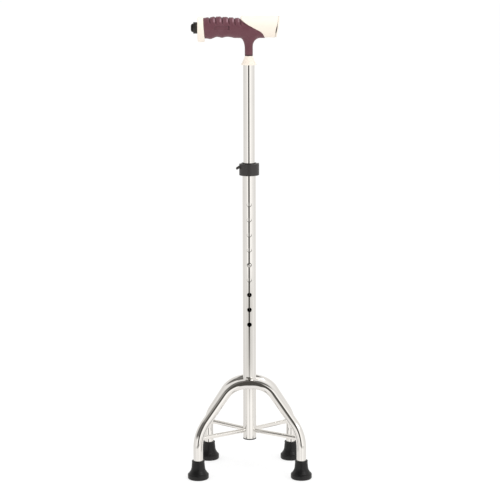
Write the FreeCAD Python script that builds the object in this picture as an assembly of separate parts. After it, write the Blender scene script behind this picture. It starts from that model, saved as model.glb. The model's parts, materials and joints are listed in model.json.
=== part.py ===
"""Adjustable four-footed walking cane with a torch built into its handle.

Millimetres, +Z up. The origin is on the floor, under the axis of the tubes. +X is the way
the torch points, and -Y is the side with the row of adjusting holes.
"""

import FreeCAD, Part
import math
import os

Vector = FreeCAD.Vector
UP = Vector(0, 0, 1)
RIGHT = Vector(1, 0, 0)
BACK = Vector(0, 1, 0)

# --- Telescoping tubes ---------------------------------------------------------------
UPPER_OD = 19.05            # sliding tube, 3/4 inch
UPPER_WALL = 1.2
TELESCOPE_GAP = 0.375       # free play between the two tubes, each side
LOWER_WALL = 1.2
LOWER_BOTTOM_Z = 54.5       # lower end of the fixed tube
LOWER_TOP_Z = 512.4         # upper end of the fixed tube
UPPER_TOP_Z = 691.0         # upper end of the sliding tube, inside the cone
RUNNING_GAP = 0.05          # radial clearance of a piece that slides or turns on another

# --- Height holes and snap button ----------------------------------------------------
HOLE_PITCH = 25.4
HOLES_EACH_WAY = 4          # holes above and below the one in use
HOLE_D = 7.9
BUTTON_Z = 354.6            # height of the hole in use
BUTTON_D = 6.7
BUTTON_HOLE_GAP = 0.3       # between the button and the hole in the sliding tube
BUTTON_REACH = 2.7          # how far the button stands out of the fixed tube
BUTTON_DOME = 1.6           # height of its rounded end
TUBE_BELOW_BUTTON = 36.8    # length of sliding tube below the button
SPRING_THICK = 0.6
SPRING_WIDTH = 6.0
SPRING_LEG = 30.0           # straight length of each leg of the hairpin spring
SPRING_TAIL = 9.0           # length of leg below the button

# --- Plastic bushes and caps in the tubes --------------------------------------------
BUSH_LIP = 4.0              # thickness of the gliding lip under the sliding tube
BUSH_PLUG = 10.0            # length of the bush inside the sliding tube
BUSH_BORE_D = 8.0
GUIDE_LIP = 1.0             # guide bush above the clamp ring
END_CAP_LIP = 2.0
END_CAP_PLUG = 12.0
CAP_WALL = 2.0

# --- Clamp with its quick lever ------------------------------------------------------
CLAMP_HEIGHT = 19.6
CLAMP_ON_TUBE = 8.0         # length of the fixed tube that the ring grips
RING_WALL = 2.6
LEVER_GAP = 0.35             # between the ring and the closed lever
LEVER_WALL = 2.6
LEVER_EDGE_R = 0.9
LEVER_PIVOT_DEG = 10.0      # where the pivot stands round the ring, from +X towards +Y
LEVER_SPAN_DEG = 178.0      # how far the lever reaches round the ring
PIVOT_PIN_D = 2.0
KNUCKLE_D = 4.6
KNUCKLE_HEIGHT = 8.0
KNUCKLE_GAP = 0.3
SPLIT_WIDTH = 2.0
EAR_THICK = 5.0
EAR_REACH = 7.5             # how far the ears stand out of the ring
EAR_HEIGHT = 13.0
CLAMP_SCREW_D = 4.0
CLAMP_HEAD_D = 7.0
CLAMP_HEAD_H = 3.0
CLAMP_NUT_FLAT = 7.0
TAB_R = 1.8                 # thumb tab at the free end of the lever
TAB_DROP = 3.6
TAB_OUT = 4.4
TAB_DEPTH = 6.0
TAB_BELOW_TOP = 4.0

# --- Base frame ----------------------------------------------------------------------
LEG_OD = 16.0
LEG_WALL = 1.5
FRONT_FOOT_X = 86.2
REAR_FOOT_X = 71.0
FOOT_Y = 55.0
LEG_CORNER_Z = 76.0         # where the upright and the sloping stretch of a leg would meet
LEG_BEND_R = 60.0
ARCH_TOP_Z = 152.0          # height of the arch's centre line
ARCH_HALF_TOP = 28.5
ARCH_BEND_R = 43.0
WELD_SINK = 0.2             # how far a welded tube is saddled into the next one
STRUT_D = 7.3
STRUT_Z = 68.0

# --- Rubber feet ---------------------------------------------------------------------
FOOT_HEIGHT = 31.0
FOOT_BASE_D = 35.2
FOOT_BASE_H = 7.5
FOOT_SHOULDER_H = 7.5
FOOT_WALL = 3.2             # rubber round the leg at the foot's neck
FOOT_SOLE = 8.5             # rubber under the washer
FOOT_TREAD_D = 14.0
FOOT_TREAD_DEEP = 1.5
WASHER_THICK = 1.5
WASHER_GAP = 0.2
WASHER_BORE_D = 5.0

# --- Handle: post, cone and bar ------------------------------------------------------
POST_D = 9.6
POST_IN_TUBE = 38.0         # length of post inside the sliding tube's top plug
PLUG_RIVET_D = 3.0
RIVET_BELOW_TOP = 3.2
CONE_BOTTOM_Z = 686.0
CONE_TOP_Z = 700.5
CONE_WALL = 2.9             # cone's rim outside the tube
CONE_LIP = 1.0              # straight rim height
CONE_HOLLOW = 1.3           # how hollow its flare is: 1 is a straight cone
NECK_WIDTH = 13.2           # seen from the side
NECK_DEPTH = 14.0
NECK_FLARE_H = 12.5         # height of the flare under the bar
NECK_FLARE = 6.7            # how far the flare widens
BAR_Z = 746.0               # axis of the handle's barrel
BARREL_BACK_X = -71.0
BARREL_FRONT_X = 21.0
BARREL_WALL = 2.0
GRIP_WALL = 2.4
GRIP_BACK_X = -74.0
GRIP_EDGE_R = 1.2

# --- Torch ---------------------------------------------------------------------------
CELL_D = 10.5
CELL_LENGTH = 44.5
CELL_SPACE = 0.4            # between neighbouring cells
CARRIER_END = 3.5           # thickness of each end plate
CARRIER_RIM = 0.3
CARRIER_GAP = 0.35          # between the carrier and the barrel
CARRIER_BACK_X = -55.0
SPINE_D = 1.5
CONTACT_WIRE_D = 0.9
CONTACT_COIL_D = 9.0
CONTACT_TURNS = 4
LAMP_BACK_X = -1.0
LAMP_FRONT_X = 20.0
LAMP_PIN_D = 3.0
NOSE_BACK_X = -13.4
NOSE_RISE = 1.7             # nose axis above the barrel's axis
NOSE_OVER = 3.4             # nose radius beyond the barrel's
NOSE_WALL = 2.0
NOSE_FACE_X = 45.6          # centre of the tilted front face
NOSE_EDGE_R = 2.0
TILT_DEG = 11.0             # how far the beam dips
# The sweeping joint between grip and nose: X, and height over the bar's axis in nose radii.
SWEEP = [(-16.3, 1.20), (-11.5, 0.78), (-3.8, 0.42), (10.5, -0.06), (18.2, -0.30), (24.9, -0.86),
         (28.7, -1.60)]
BEZEL_THICK = 2.8
BEZEL_SKIRT = 4.0
BEZEL_RIM = 2.4             # width of the ring round the lens
LENS_THICK = 1.6
LENS_GAP = 0.1
SEAL_D = 1.2
REFLECTOR_DEPTH = 13.0
REFLECTOR_WALL = 0.8
REFLECTOR_HOLE_D = 6.0
BOARD_THICK = 1.6
LED_D = 4.0
LED_HEIGHT = 1.2

# --- Back cap and switch -------------------------------------------------------------
CAP_BACK_X = -83.4
CAP_OVER_TOP = 4.0          # cap beyond the barrel, above
CAP_OVER_BOTTOM = 8.9       # and below
CAP_OVER_SIDE = 3.6
CAP_EDGE_R = 3.0
CAP_SPIGOT = 8.0            # length of the spigot inside the barrel
COLLAR_D = 18.7
COLLAR_LENGTH = 6.8
SWITCH_D = 13.8
SWITCH_DOME = 4.2
SWITCH_GAP = 0.3
SWITCH_TRAVEL = 1.5
SWITCH_FLANGE = 1.2         # flange that keeps the button in its collar
SWITCH_BODY_D = 13.0
PLUNGER_D = 5.0

# --- Sizes that follow ---------------------------------------------------------------
UPPER_R = UPPER_OD / 2
UPPER_BORE_R = UPPER_R - UPPER_WALL
LOWER_BORE_R = UPPER_R + TELESCOPE_GAP
LOWER_R = LOWER_BORE_R + LOWER_WALL
UPPER_BOTTOM_Z = BUTTON_Z - TUBE_BELOW_BUTTON
CLAMP_BOTTOM_Z = LOWER_TOP_Z - CLAMP_ON_TUBE
CLAMP_TOP_Z = CLAMP_BOTTOM_Z + CLAMP_HEIGHT
CLAMP_MID_Z = CLAMP_BOTTOM_Z + CLAMP_HEIGHT / 2
RING_R = LOWER_R + RING_WALL
LEVER_BORE_R = RING_R + LEVER_GAP
LEVER_R = LEVER_BORE_R + LEVER_WALL
PIVOT_RADIUS = LEVER_R - KNUCKLE_D / 2 - 0.2
LEG_R = LEG_OD / 2
ARCH_Y = LOWER_R + LEG_R - WELD_SINK
LEG_END_Z = FOOT_SOLE + WASHER_THICK
CELL_RADIUS = (CELL_D + CELL_SPACE) / math.sqrt(3)
CARRIER_R = CELL_RADIUS + CELL_D / 2 + CARRIER_RIM
BARREL_BORE_R = CARRIER_R + CARRIER_GAP
BARREL_R = BARREL_BORE_R + BARREL_WALL
GRIP_R = BARREL_R + GRIP_WALL
NOSE_R = BARREL_R + NOSE_OVER
NOSE_Z = BAR_Z + NOSE_RISE
CARRIER_FRONT_X = CARRIER_BACK_X + CELL_LENGTH + 2 * CARRIER_END
COLLAR_BACK_X = CAP_BACK_X - COLLAR_LENGTH
SWITCH_BACK_X = COLLAR_BACK_X - SWITCH_DOME


# --- Helpers -------------------------------------------------------------------------
def rod(radius, start, end):
    """A solid cylinder between two points."""
    way = end - start
    return Part.makeCylinder(radius, way.Length, start, way)


def upright(radius, low, high, x=0.0, y=0.0):
    """A vertical cylinder between two heights."""
    return rod(radius, Vector(x, y, low), Vector(x, y, high))


def along_x(radius, start, end, z):
    """A cylinder along X at a height z, in the middle plane."""
    return rod(radius, Vector(start, 0, z), Vector(end, 0, z))


def block(low, high):
    """A box between two corners."""
    size = high - low
    return Part.makeBox(size.x, size.y, size.z, low)


def turned(profile, axis=UP):
    """A solid of revolution from (radius, height) points round the axis through the origin."""
    side = RIGHT if axis == UP else BACK
    points = [side * r + axis * h for r, h in profile]
    face = Part.Face(Part.makePolygon(points + points[:1]))
    solid = face.revolve(Vector(0, 0, 0), axis, 360)
    return Part.Solid(solid.Shells[0]) if solid.ShapeType != "Solid" else solid


def largest_solid(shape):
    """The main piece that a cut leaves, without its offcuts."""
    return max(shape.Solids, key=lambda solid: solid.Volume)


def softened(solid, radius, test):
    """The solid with the edges that pass the test rounded."""
    return solid.makeFillet(radius, [edge for edge in solid.Edges if test(edge)])


def round_edge_at(x):
    """A test for closed edges that lie in the plane at x."""
    def test(edge):
        box = edge.BoundBox
        return len(edge.Vertexes) == 1 and abs(box.XMin - x) < 1e-3 and box.XLength < 1e-3
    return test


def rounded_path(points, radii):
    """A wire of straight runs joined by tangent arcs, one radius for each inner point."""
    edges = []
    start = points[0]
    for before, corner, after, radius in zip(points, points[1:], points[2:], radii):
        back = (before - corner).normalize()
        on = (after - corner).normalize()
        half = back.getAngle(on) / 2
        reach = radius / math.tan(half)
        middle = (back + on).normalize()
        centre = corner + middle * (radius / math.sin(half))
        arc_start = corner + back * reach
        arc_end = corner + on * reach
        edges.append(Part.LineSegment(start, arc_start).toShape())
        edges.append(Part.Arc(arc_start, centre - middle * radius, arc_end).toShape())
        start = arc_end
    edges.append(Part.LineSegment(start, points[-1]).toShape())
    return Part.Wire(edges)


def swept(path, radius, start, way):
    """A round bar along a path that starts at a point, going a way."""
    ring = Part.Wire(Part.makeCircle(radius, start, way))
    return path.makePipeShell([ring], True, False)


def save(name, shape):
    """Write one sub-part, and say its name and volume."""
    shape = shape.removeSplitter()
    assert shape.isValid(), name
    solids = shape.Solids
    (solids[0] if len(solids) == 1 else Part.makeCompound(solids)).exportStep(f"parts/{name}.step")
    print(f"{name}: {len(solids)} solid(s), {shape.Volume:.0f} mm3")


# --- Tubes, button and bushes --------------------------------------------------------
def make_outer_tube():
    """The fixed tube, with its row of holes in the front wall."""
    tube = upright(LOWER_R, LOWER_BOTTOM_Z, LOWER_TOP_Z)
    tube = tube.cut(upright(LOWER_BORE_R, LOWER_BOTTOM_Z, LOWER_TOP_Z))
    for step in range(-HOLES_EACH_WAY, HOLES_EACH_WAY + 1):
        z = BUTTON_Z + step * HOLE_PITCH
        tube = tube.cut(rod(HOLE_D / 2, Vector(0, 0, z), Vector(0, -2 * LOWER_R, z)))
    return tube


def make_inner_tube():
    """The sliding tube, with the button's hole and the rivet's hole."""
    tube = upright(UPPER_R, UPPER_BOTTOM_Z, UPPER_TOP_Z)
    tube = tube.cut(upright(UPPER_BORE_R, UPPER_BOTTOM_Z, UPPER_TOP_Z))
    radius = BUTTON_D / 2 + BUTTON_HOLE_GAP
    tube = tube.cut(rod(radius, Vector(0, 0, BUTTON_Z), Vector(0, -2 * UPPER_R, BUTTON_Z)))
    return tube.cut(rivet_blank())


def make_slide_bush():
    """Nylon bush under the sliding tube, which glides in the fixed tube."""
    lip_bottom = UPPER_BOTTOM_Z - BUSH_LIP
    bush = upright(LOWER_BORE_R - RUNNING_GAP, lip_bottom, UPPER_BOTTOM_Z)
    bush = bush.fuse(upright(UPPER_BORE_R, UPPER_BOTTOM_Z, UPPER_BOTTOM_Z + BUSH_PLUG))
    return bush.cut(upright(BUSH_BORE_D / 2, lip_bottom, UPPER_BOTTOM_Z + BUSH_PLUG))


def make_snap_spring():
    """Hairpin leaf spring inside the sliding tube, its front leg behind the button."""
    half = SPRING_WIDTH / 2
    outer = math.sqrt(UPPER_BORE_R**2 - half**2) - 0.15
    inner = outer - SPRING_THICK
    low = BUTTON_Z - SPRING_TAIL
    top = low + SPRING_LEG
    bend = rod(outer, Vector(-half, 0, top), Vector(half, 0, top))
    legs = block(Vector(-half, -outer, low), Vector(half, outer, top))
    hollow = rod(inner, Vector(-half, 0, top), Vector(half, 0, top))
    hollow = hollow.fuse(block(Vector(-half, -inner, low), Vector(half, inner, top)))
    return bend.fuse(legs).cut(hollow)


def make_snap_button():
    """Steel button that locks the two tubes, with a domed end."""
    half = SPRING_WIDTH / 2
    back = math.sqrt(UPPER_BORE_R**2 - half**2) - 0.15 + RUNNING_GAP
    front = LOWER_R + BUTTON_REACH
    radius = BUTTON_D / 2
    dome_r = (radius**2 + BUTTON_DOME**2) / (2 * BUTTON_DOME)
    body = rod(radius, Vector(0, -back, BUTTON_Z), Vector(0, -front, BUTTON_Z))
    dome = Part.makeSphere(dome_r, Vector(0, -front + dome_r, BUTTON_Z))
    return body.common(dome.fuse(rod(radius, Vector(0, 0, BUTTON_Z),
                                     Vector(0, -front + BUTTON_DOME, BUTTON_Z))))


def make_tube_end_cap():
    """Thin plastic cap that closes the fixed tube's lower end."""
    low = LOWER_BOTTOM_Z - END_CAP_LIP
    high = LOWER_BOTTOM_Z + END_CAP_PLUG
    cap = upright(LOWER_R, low, LOWER_BOTTOM_Z).fuse(upright(LOWER_BORE_R, LOWER_BOTTOM_Z, high))
    return cap.cut(upright(LOWER_BORE_R - CAP_WALL, LOWER_BOTTOM_Z, high))


# --- Clamp ---------------------------------------------------------------------------
def pivot_point(z):
    """The lever's pivot at a height."""
    angle = math.radians(LEVER_PIVOT_DEG)
    return Vector(PIVOT_RADIUS * math.cos(angle), PIVOT_RADIUS * math.sin(angle), z)


def pivot_rod(radius, low, high):
    """A cylinder on the pivot's axis."""
    return rod(radius, pivot_point(low), pivot_point(high))


def make_guide_bush():
    """Nylon bush on top of the fixed tube, squeezed on the sliding tube by the clamp."""
    bore = UPPER_R + RUNNING_GAP
    bush = upright(LOWER_R, LOWER_TOP_Z, CLAMP_TOP_Z + GUIDE_LIP)
    return bush.cut(upright(bore, LOWER_TOP_Z, CLAMP_TOP_Z + GUIDE_LIP))


def ear_screw_point(x):
    """A point on the clamp screw's axis."""
    return Vector(x, RING_R + EAR_REACH / 2, CLAMP_MID_Z)


def make_clamp_ring():
    """Split aluminium ring with two ears at the back and the lever's lugs at the side."""
    ring = upright(RING_R, CLAMP_BOTTOM_Z, CLAMP_TOP_Z)
    ear_half = SPLIT_WIDTH / 2 + EAR_THICK
    ears = block(Vector(-ear_half, LOWER_R, CLAMP_MID_Z - EAR_HEIGHT / 2),
                 Vector(ear_half, RING_R + EAR_REACH, CLAMP_MID_Z + EAR_HEIGHT / 2))
    ears = softened(ears, 1.5, lambda e: abs(e.BoundBox.XLength) < 1e-6
                    and e.BoundBox.YMin > RING_R + EAR_REACH - 1e-6)
    knuckle_low = CLAMP_MID_Z - KNUCKLE_HEIGHT / 2 - KNUCKLE_GAP
    knuckle_high = CLAMP_MID_Z + KNUCKLE_HEIGHT / 2 + KNUCKLE_GAP
    lugs = pivot_rod(KNUCKLE_D / 2, CLAMP_BOTTOM_Z, CLAMP_TOP_Z)
    ring = ring.fuse([ears, lugs])
    ring = ring.cut(upright(LOWER_R, CLAMP_BOTTOM_Z, CLAMP_TOP_Z))
    ring = ring.cut(block(Vector(-SPLIT_WIDTH / 2, 0, CLAMP_BOTTOM_Z),
                          Vector(SPLIT_WIDTH / 2, RING_R + EAR_REACH, CLAMP_TOP_Z)))
    ring = ring.cut(pivot_rod(KNUCKLE_D / 2 + KNUCKLE_GAP, knuckle_low, knuckle_high))
    ring = ring.cut(pivot_rod(PIVOT_PIN_D / 2, CLAMP_BOTTOM_Z, CLAMP_TOP_Z))
    return ring.cut(rod(CLAMP_SCREW_D / 2, ear_screw_point(-ear_half), ear_screw_point(ear_half)))


def make_clamp_screw():
    """Cap screw through the clamp's ears."""
    ear_half = SPLIT_WIDTH / 2 + EAR_THICK
    tip = -ear_half - CLAMP_HEAD_H - 1.0
    head = rod(CLAMP_HEAD_D / 2, ear_screw_point(ear_half), ear_screw_point(ear_half + CLAMP_HEAD_H))
    socket = rod(CLAMP_SCREW_D * 0.4, ear_screw_point(ear_half + CLAMP_HEAD_H / 2),
                 ear_screw_point(ear_half + CLAMP_HEAD_H))
    return head.fuse(rod(CLAMP_SCREW_D / 2, ear_screw_point(tip), ear_screw_point(ear_half))).cut(socket)


def make_clamp_nut():
    """Hexagon nut on the clamp screw."""
    start = -SPLIT_WIDTH / 2 - EAR_THICK
    centre = ear_screw_point(start)
    corner_r = CLAMP_NUT_FLAT / math.sqrt(3)
    points = []
    for k in range(7):
        angle = math.radians(60 * k)
        points.append(centre + Vector(0, corner_r * math.cos(angle), corner_r * math.sin(angle)))
    nut = Part.Face(Part.makePolygon(points)).extrude(RIGHT * -CLAMP_HEAD_H)
    return nut.cut(rod(CLAMP_SCREW_D / 2, centre, ear_screw_point(start - CLAMP_HEAD_H)))


def make_lever_pin():
    """Steel pin that the lever turns on, pressed into the ring's lugs."""
    return pivot_rod(PIVOT_PIN_D / 2, CLAMP_BOTTOM_Z, CLAMP_TOP_Z)


def make_clamp_lever():
    """Quick lever that wraps the front of the ring, with a thumb tab at its free end."""
    start = LEVER_PIVOT_DEG - LEVER_SPAN_DEG
    plate = Part.makeCylinder(LEVER_R, CLAMP_HEIGHT, Vector(0, 0, CLAMP_BOTTOM_Z), UP, LEVER_SPAN_DEG)
    plate = plate.cut(upright(LEVER_BORE_R, CLAMP_BOTTOM_Z, CLAMP_TOP_Z))
    plate.rotate(Vector(0, 0, 0), UP, start)

    def outer_rim(edge):
        curve = edge.Curve
        return isinstance(curve, Part.Circle) and abs(curve.Radius - LEVER_R) < 1e-6
    plate = softened(plate, LEVER_EDGE_R, outer_rim)
    knuckle = pivot_rod(KNUCKLE_D / 2, CLAMP_MID_Z - KNUCKLE_HEIGHT / 2, CLAMP_MID_Z + KNUCKLE_HEIGHT / 2)
    lug_space = KNUCKLE_D / 2 + KNUCKLE_GAP
    for low, high in ((CLAMP_BOTTOM_Z, CLAMP_MID_Z - KNUCKLE_HEIGHT / 2),
                      (CLAMP_MID_Z + KNUCKLE_HEIGHT / 2, CLAMP_TOP_Z)):
        plate = plate.cut(pivot_rod(lug_space, low, high))
    angle = math.radians(start)
    root = Vector((LEVER_R - TAB_R) * math.cos(angle), (LEVER_R - TAB_R) * math.sin(angle),
                  CLAMP_TOP_Z - TAB_BELOW_TOP)
    root.y -= TAB_DEPTH
    tip = root + Vector(-TAB_OUT - TAB_R / 2, 0, -TAB_DROP)
    ends = [rod(TAB_R, point, point + BACK * TAB_DEPTH) for point in (root, tip)]
    across = (tip - root).normalize().cross(BACK) * TAB_R
    corners = [root + across, tip + across, tip - across, root - across, root + across]
    web = Part.Face(Part.makePolygon(corners)).extrude(BACK * TAB_DEPTH)
    tab = ends[0].fuse([ends[1], web]).cut(upright(LEVER_BORE_R, CLAMP_BOTTOM_Z, CLAMP_TOP_Z))
    lever = plate.fuse([knuckle, tab])
    return lever.cut(pivot_rod(PIVOT_PIN_D / 2 + RUNNING_GAP, CLAMP_BOTTOM_Z, CLAMP_TOP_Z))


# --- Base frame and feet -------------------------------------------------------------
def leg_points(foot_x, side):
    """The corners of one arch's centre line. side is -1 in front and 1 at the back."""
    foot_y = side * FOOT_Y
    top_y = side * ARCH_Y
    right = [Vector(foot_x, foot_y, LEG_END_Z), Vector(foot_x, foot_y, LEG_CORNER_Z),
             Vector(ARCH_HALF_TOP, top_y, ARCH_TOP_Z)]
    left = [Vector(-p.x, p.y, p.z) for p in reversed(right)]
    return right + left


def arch_bar(foot_x, side, radius):
    """A round bar along an arch's centre line."""
    points = leg_points(foot_x, side)
    path = rounded_path(points, [LEG_BEND_R, ARCH_BEND_R, ARCH_BEND_R, LEG_BEND_R])
    bar = swept(path, radius, points[0], UP)
    expected = math.pi * radius**2 * path.Length
    assert abs(bar.Volume - expected) < 0.002 * expected, "arch sweep"
    return bar


def make_arch(foot_x, side):
    """One bent tube that makes two legs, saddled where it is welded to the fixed tube."""
    tube = arch_bar(foot_x, side, LEG_R).cut(arch_bar(foot_x, side, LEG_R - LEG_WALL))
    tube = tube.cut(upright(LOWER_R, LOWER_BOTTOM_Z, LOWER_TOP_Z))
    return largest_solid(tube)


def make_strut(foot_x, side, hand):
    """A brace rod from the fixed tube to one leg, coped at both ends."""
    rise = STRUT_Z - (LEG_CORNER_Z - leg_bend_reach(foot_x))
    lean = LEG_BEND_R - math.sqrt(LEG_BEND_R**2 - max(rise, 0.0) ** 2)
    run = Vector(ARCH_HALF_TOP - foot_x, side * (ARCH_Y - FOOT_Y), 0).normalize()
    leg = Vector(foot_x, side * FOOT_Y, STRUT_Z) + run * lean
    leg.x *= hand
    strut = rod(STRUT_D / 2, Vector(0, 0, STRUT_Z), leg)
    strut = strut.cut([upright(LOWER_R, LOWER_BOTTOM_Z, LOWER_TOP_Z), arch_bar(foot_x, side, LEG_R)])
    return largest_solid(strut)


def leg_bend_reach(foot_x):
    """Length of straight leg that the lower bend takes up."""
    run = Vector(ARCH_HALF_TOP - foot_x, ARCH_Y - FOOT_Y, ARCH_TOP_Z - LEG_CORNER_Z)
    return LEG_BEND_R * math.tan(run.getAngle(UP) / 2)


def make_foot(x, y):
    """A rubber foot: flared base, conical shoulder and a collar stretched over the leg."""
    base_r = FOOT_BASE_D / 2
    neck_r = LEG_R + FOOT_WALL
    shoulder_z = FOOT_BASE_H + FOOT_SHOULDER_H
    profile = [(0, FOOT_TREAD_DEEP), (FOOT_TREAD_D / 2, FOOT_TREAD_DEEP), (FOOT_TREAD_D / 2, 0),
               (base_r - 1.2, 0), (base_r, 1.2), (base_r, FOOT_BASE_H - 1.4),
               (base_r - 1.4, FOOT_BASE_H), (neck_r + 0.6, shoulder_z), (neck_r, shoulder_z + 0.6),
               (neck_r - 0.4, FOOT_HEIGHT - 0.8), (neck_r - 1.2, FOOT_HEIGHT),
               (LEG_R, FOOT_HEIGHT), (LEG_R, FOOT_SOLE), (0, FOOT_SOLE)]
    foot = turned(profile)
    foot.translate(Vector(x, y, 0))
    return foot


def make_washer(x, y):
    """The steel washer that keeps a leg's end from cutting through its foot."""
    top = FOOT_SOLE + WASHER_THICK
    washer = upright(LEG_R - WASHER_GAP, FOOT_SOLE, top, x, y)
    return washer.cut(upright(WASHER_BORE_D / 2, FOOT_SOLE, top, x, y))


# --- Handle --------------------------------------------------------------------------
def rivet_blank():
    """The rivet through the tube, its plug and the post."""
    z = UPPER_TOP_Z - RIVET_BELOW_TOP
    rivet = rod(PLUG_RIVET_D / 2, Vector(0, -UPPER_R, z), Vector(0, UPPER_R, z))
    return rivet.common(upright(UPPER_R, z - PLUG_RIVET_D, z + PLUG_RIVET_D))


def make_top_plug():
    """Aluminium plug that centres the handle's post in the sliding tube."""
    low = UPPER_TOP_Z - POST_IN_TUBE
    plug = upright(UPPER_BORE_R, low, UPPER_TOP_Z).cut(upright(POST_D / 2, low, UPPER_TOP_Z))
    return plug.cut(rivet_blank())


def make_handle_post():
    """Steel post from the sliding tube up to the handle's barrel."""
    post = upright(POST_D / 2, UPPER_TOP_Z - POST_IN_TUBE, BAR_Z)
    post = post.cut(along_x(BARREL_R, BARREL_BACK_X, BARREL_FRONT_X, BAR_Z))
    return post.cut(rivet_blank())


def make_stem_cone():
    """Flared cover over the end of the sliding tube."""
    rim = UPPER_R + CONE_WALL
    top = NECK_WIDTH / 2
    rise = CONE_TOP_Z - CONE_BOTTOM_Z - CONE_LIP
    steps = 8
    profile = [(0, CONE_BOTTOM_Z), (rim, CONE_BOTTOM_Z), (rim, CONE_BOTTOM_Z + CONE_LIP)]
    for k in range(1, steps + 1):
        share = k / steps
        profile.append((top + (rim - top) * (1 - share) ** CONE_HOLLOW, CONE_BOTTOM_Z + CONE_LIP + rise * share))
    profile.append((0, CONE_TOP_Z))
    cone = turned(profile)
    cone = cone.cut(upright(UPPER_R, CONE_BOTTOM_Z, UPPER_TOP_Z))
    return cone.cut(upright(POST_D / 2, UPPER_TOP_Z, CONE_TOP_Z))


def make_handle_barrel():
    """The tube inside the grip that carries the load and holds the cells."""
    barrel = along_x(BARREL_R, BARREL_BACK_X, BARREL_FRONT_X, BAR_Z)
    return barrel.cut(along_x(BARREL_BORE_R, BARREL_BACK_X, BARREL_FRONT_X, BAR_Z))


def grip_region():
    """All the space behind and under the sweeping joint between the grip and the nose."""
    top = BAR_Z + 3 * GRIP_R
    bottom = CONE_BOTTOM_Z - GRIP_R
    joint = Part.BSplineCurve()
    joint.interpolate([Vector(x, 0, BAR_Z + rise * NOSE_R) for x, rise in SWEEP])
    ends = [joint.value(joint.LastParameter), joint.value(joint.FirstParameter)]
    corners = [ends[0], Vector(ends[0].x, 0, bottom), Vector(3 * GRIP_BACK_X, 0, bottom),
               Vector(3 * GRIP_BACK_X, 0, top), Vector(ends[1].x, 0, top), ends[1]]
    wire = Part.Wire([joint.toShape(), *Part.makePolygon(corners).Edges])
    region = Part.Face(wire).extrude(BACK * 6 * GRIP_R)
    region.translate(BACK * -3 * GRIP_R)
    return region


def oval(width, depth, z):
    """A wire in the shape of an ellipse, width along X and depth along Y."""
    ellipse = Part.Ellipse(Vector(0, 0, z), max(width, depth) / 2, min(width, depth) / 2)
    wire = Part.Wire(ellipse.toShape())
    if depth > width:
        wire.rotate(Vector(0, 0, z), UP, 90)
    return wire


def make_grip():
    """Soft sleeve over the barrel and down the neck."""
    bar = along_x(GRIP_R, GRIP_BACK_X, BARREL_FRONT_X + NOSE_WALL + 4, BAR_Z)
    bar = softened(bar, GRIP_EDGE_R, round_edge_at(GRIP_BACK_X))
    flare_top = BAR_Z - GRIP_R + GRIP_WALL
    flare_low = flare_top - NECK_FLARE_H
    neck = Part.makeLoft([oval(NECK_WIDTH, NECK_DEPTH, CONE_TOP_Z), oval(NECK_WIDTH, NECK_DEPTH, flare_low)],
                         True, True)
    flare = Part.makeLoft([oval(NECK_WIDTH, NECK_DEPTH, flare_low),
                           oval(NECK_WIDTH + 2 * NECK_FLARE, NECK_DEPTH + NECK_FLARE, flare_top)], True, True)
    grip = bar.fuse([neck, flare]).common(grip_region())
    core = along_x(BARREL_R, 2 * GRIP_BACK_X, -2 * GRIP_BACK_X, BAR_Z)
    return grip.cut([core, upright(POST_D / 2, CONE_TOP_Z, BAR_Z)])


# --- Torch ---------------------------------------------------------------------------
def tilted(shape):
    """Place a shape built along +X from the origin on the nose's tilted front face."""
    shape.rotate(Vector(0, 0, 0), BACK, TILT_DEG)
    shape.translate(Vector(NOSE_FACE_X, 0, NOSE_Z))
    return shape


def tube_x(radius, bore, start, end):
    """A ring or tube along X from the origin's plane, ready to be tilted."""
    ring = along_x(radius, start, end, 0)
    return ring.cut(along_x(bore, start, end, 0)) if bore else ring


def make_nose_housing():
    """Front casing of the torch, cut where the grip sweeps under it."""
    lens_bore = NOSE_R - NOSE_WALL
    ahead = tilted(block(Vector(0, -2 * NOSE_R, -2 * NOSE_R), Vector(NOSE_FACE_X, 2 * NOSE_R, 2 * NOSE_R)))
    body = along_x(NOSE_R, NOSE_BACK_X, NOSE_FACE_X + NOSE_R, NOSE_Z).cut(ahead)
    body = softened(body, NOSE_EDGE_R, round_edge_at(NOSE_BACK_X))
    body = body.cut(grip_region())
    hollow = along_x(lens_bore, BARREL_FRONT_X, NOSE_FACE_X + NOSE_R, NOSE_Z)
    core = along_x(BARREL_R, NOSE_BACK_X, BARREL_FRONT_X, BAR_Z)
    return largest_solid(body.cut([hollow, core]))


def make_lens_bezel():
    """Ring screwed into the nose that holds the lens, with a skirt inside the nose."""
    outer = NOSE_R - 0.4
    skirt = (NOSE_R - NOSE_WALL) * math.cos(math.radians(TILT_DEG)) - 0.4
    ring = tube_x(outer, 0, 0, BEZEL_THICK)
    ring = softened(ring, 1.0, round_edge_at(BEZEL_THICK))
    ring = ring.fuse(tube_x(skirt, 0, -BEZEL_SKIRT, 0))
    ring = ring.cut(tube_x(lens_radius(), 0, -BEZEL_SKIRT, BEZEL_THICK - 1.0))
    ring = ring.cut(tube_x(lens_radius() - BEZEL_RIM + 1.0, 0, -BEZEL_SKIRT, BEZEL_THICK))
    return tilted(ring)


def lens_radius():
    """Radius of the lens, inside the bezel's skirt."""
    return (NOSE_R - NOSE_WALL) * math.cos(math.radians(TILT_DEG)) - 0.4 - BEZEL_RIM / 2


def make_lens():
    """Clear disc in front of the reflector."""
    front = BEZEL_THICK - 1.0
    return tilted(tube_x(lens_radius() - LENS_GAP, 0, front - LENS_THICK, front))


def make_lens_seal():
    """Rubber ring behind the lens."""
    back = BEZEL_THICK - 1.0 - LENS_THICK
    seal = Part.makeTorus(lens_radius() - LENS_GAP - SEAL_D / 2, SEAL_D / 2, Vector(back - SEAL_D / 2, 0, 0), RIGHT)
    return tilted(seal)


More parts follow.
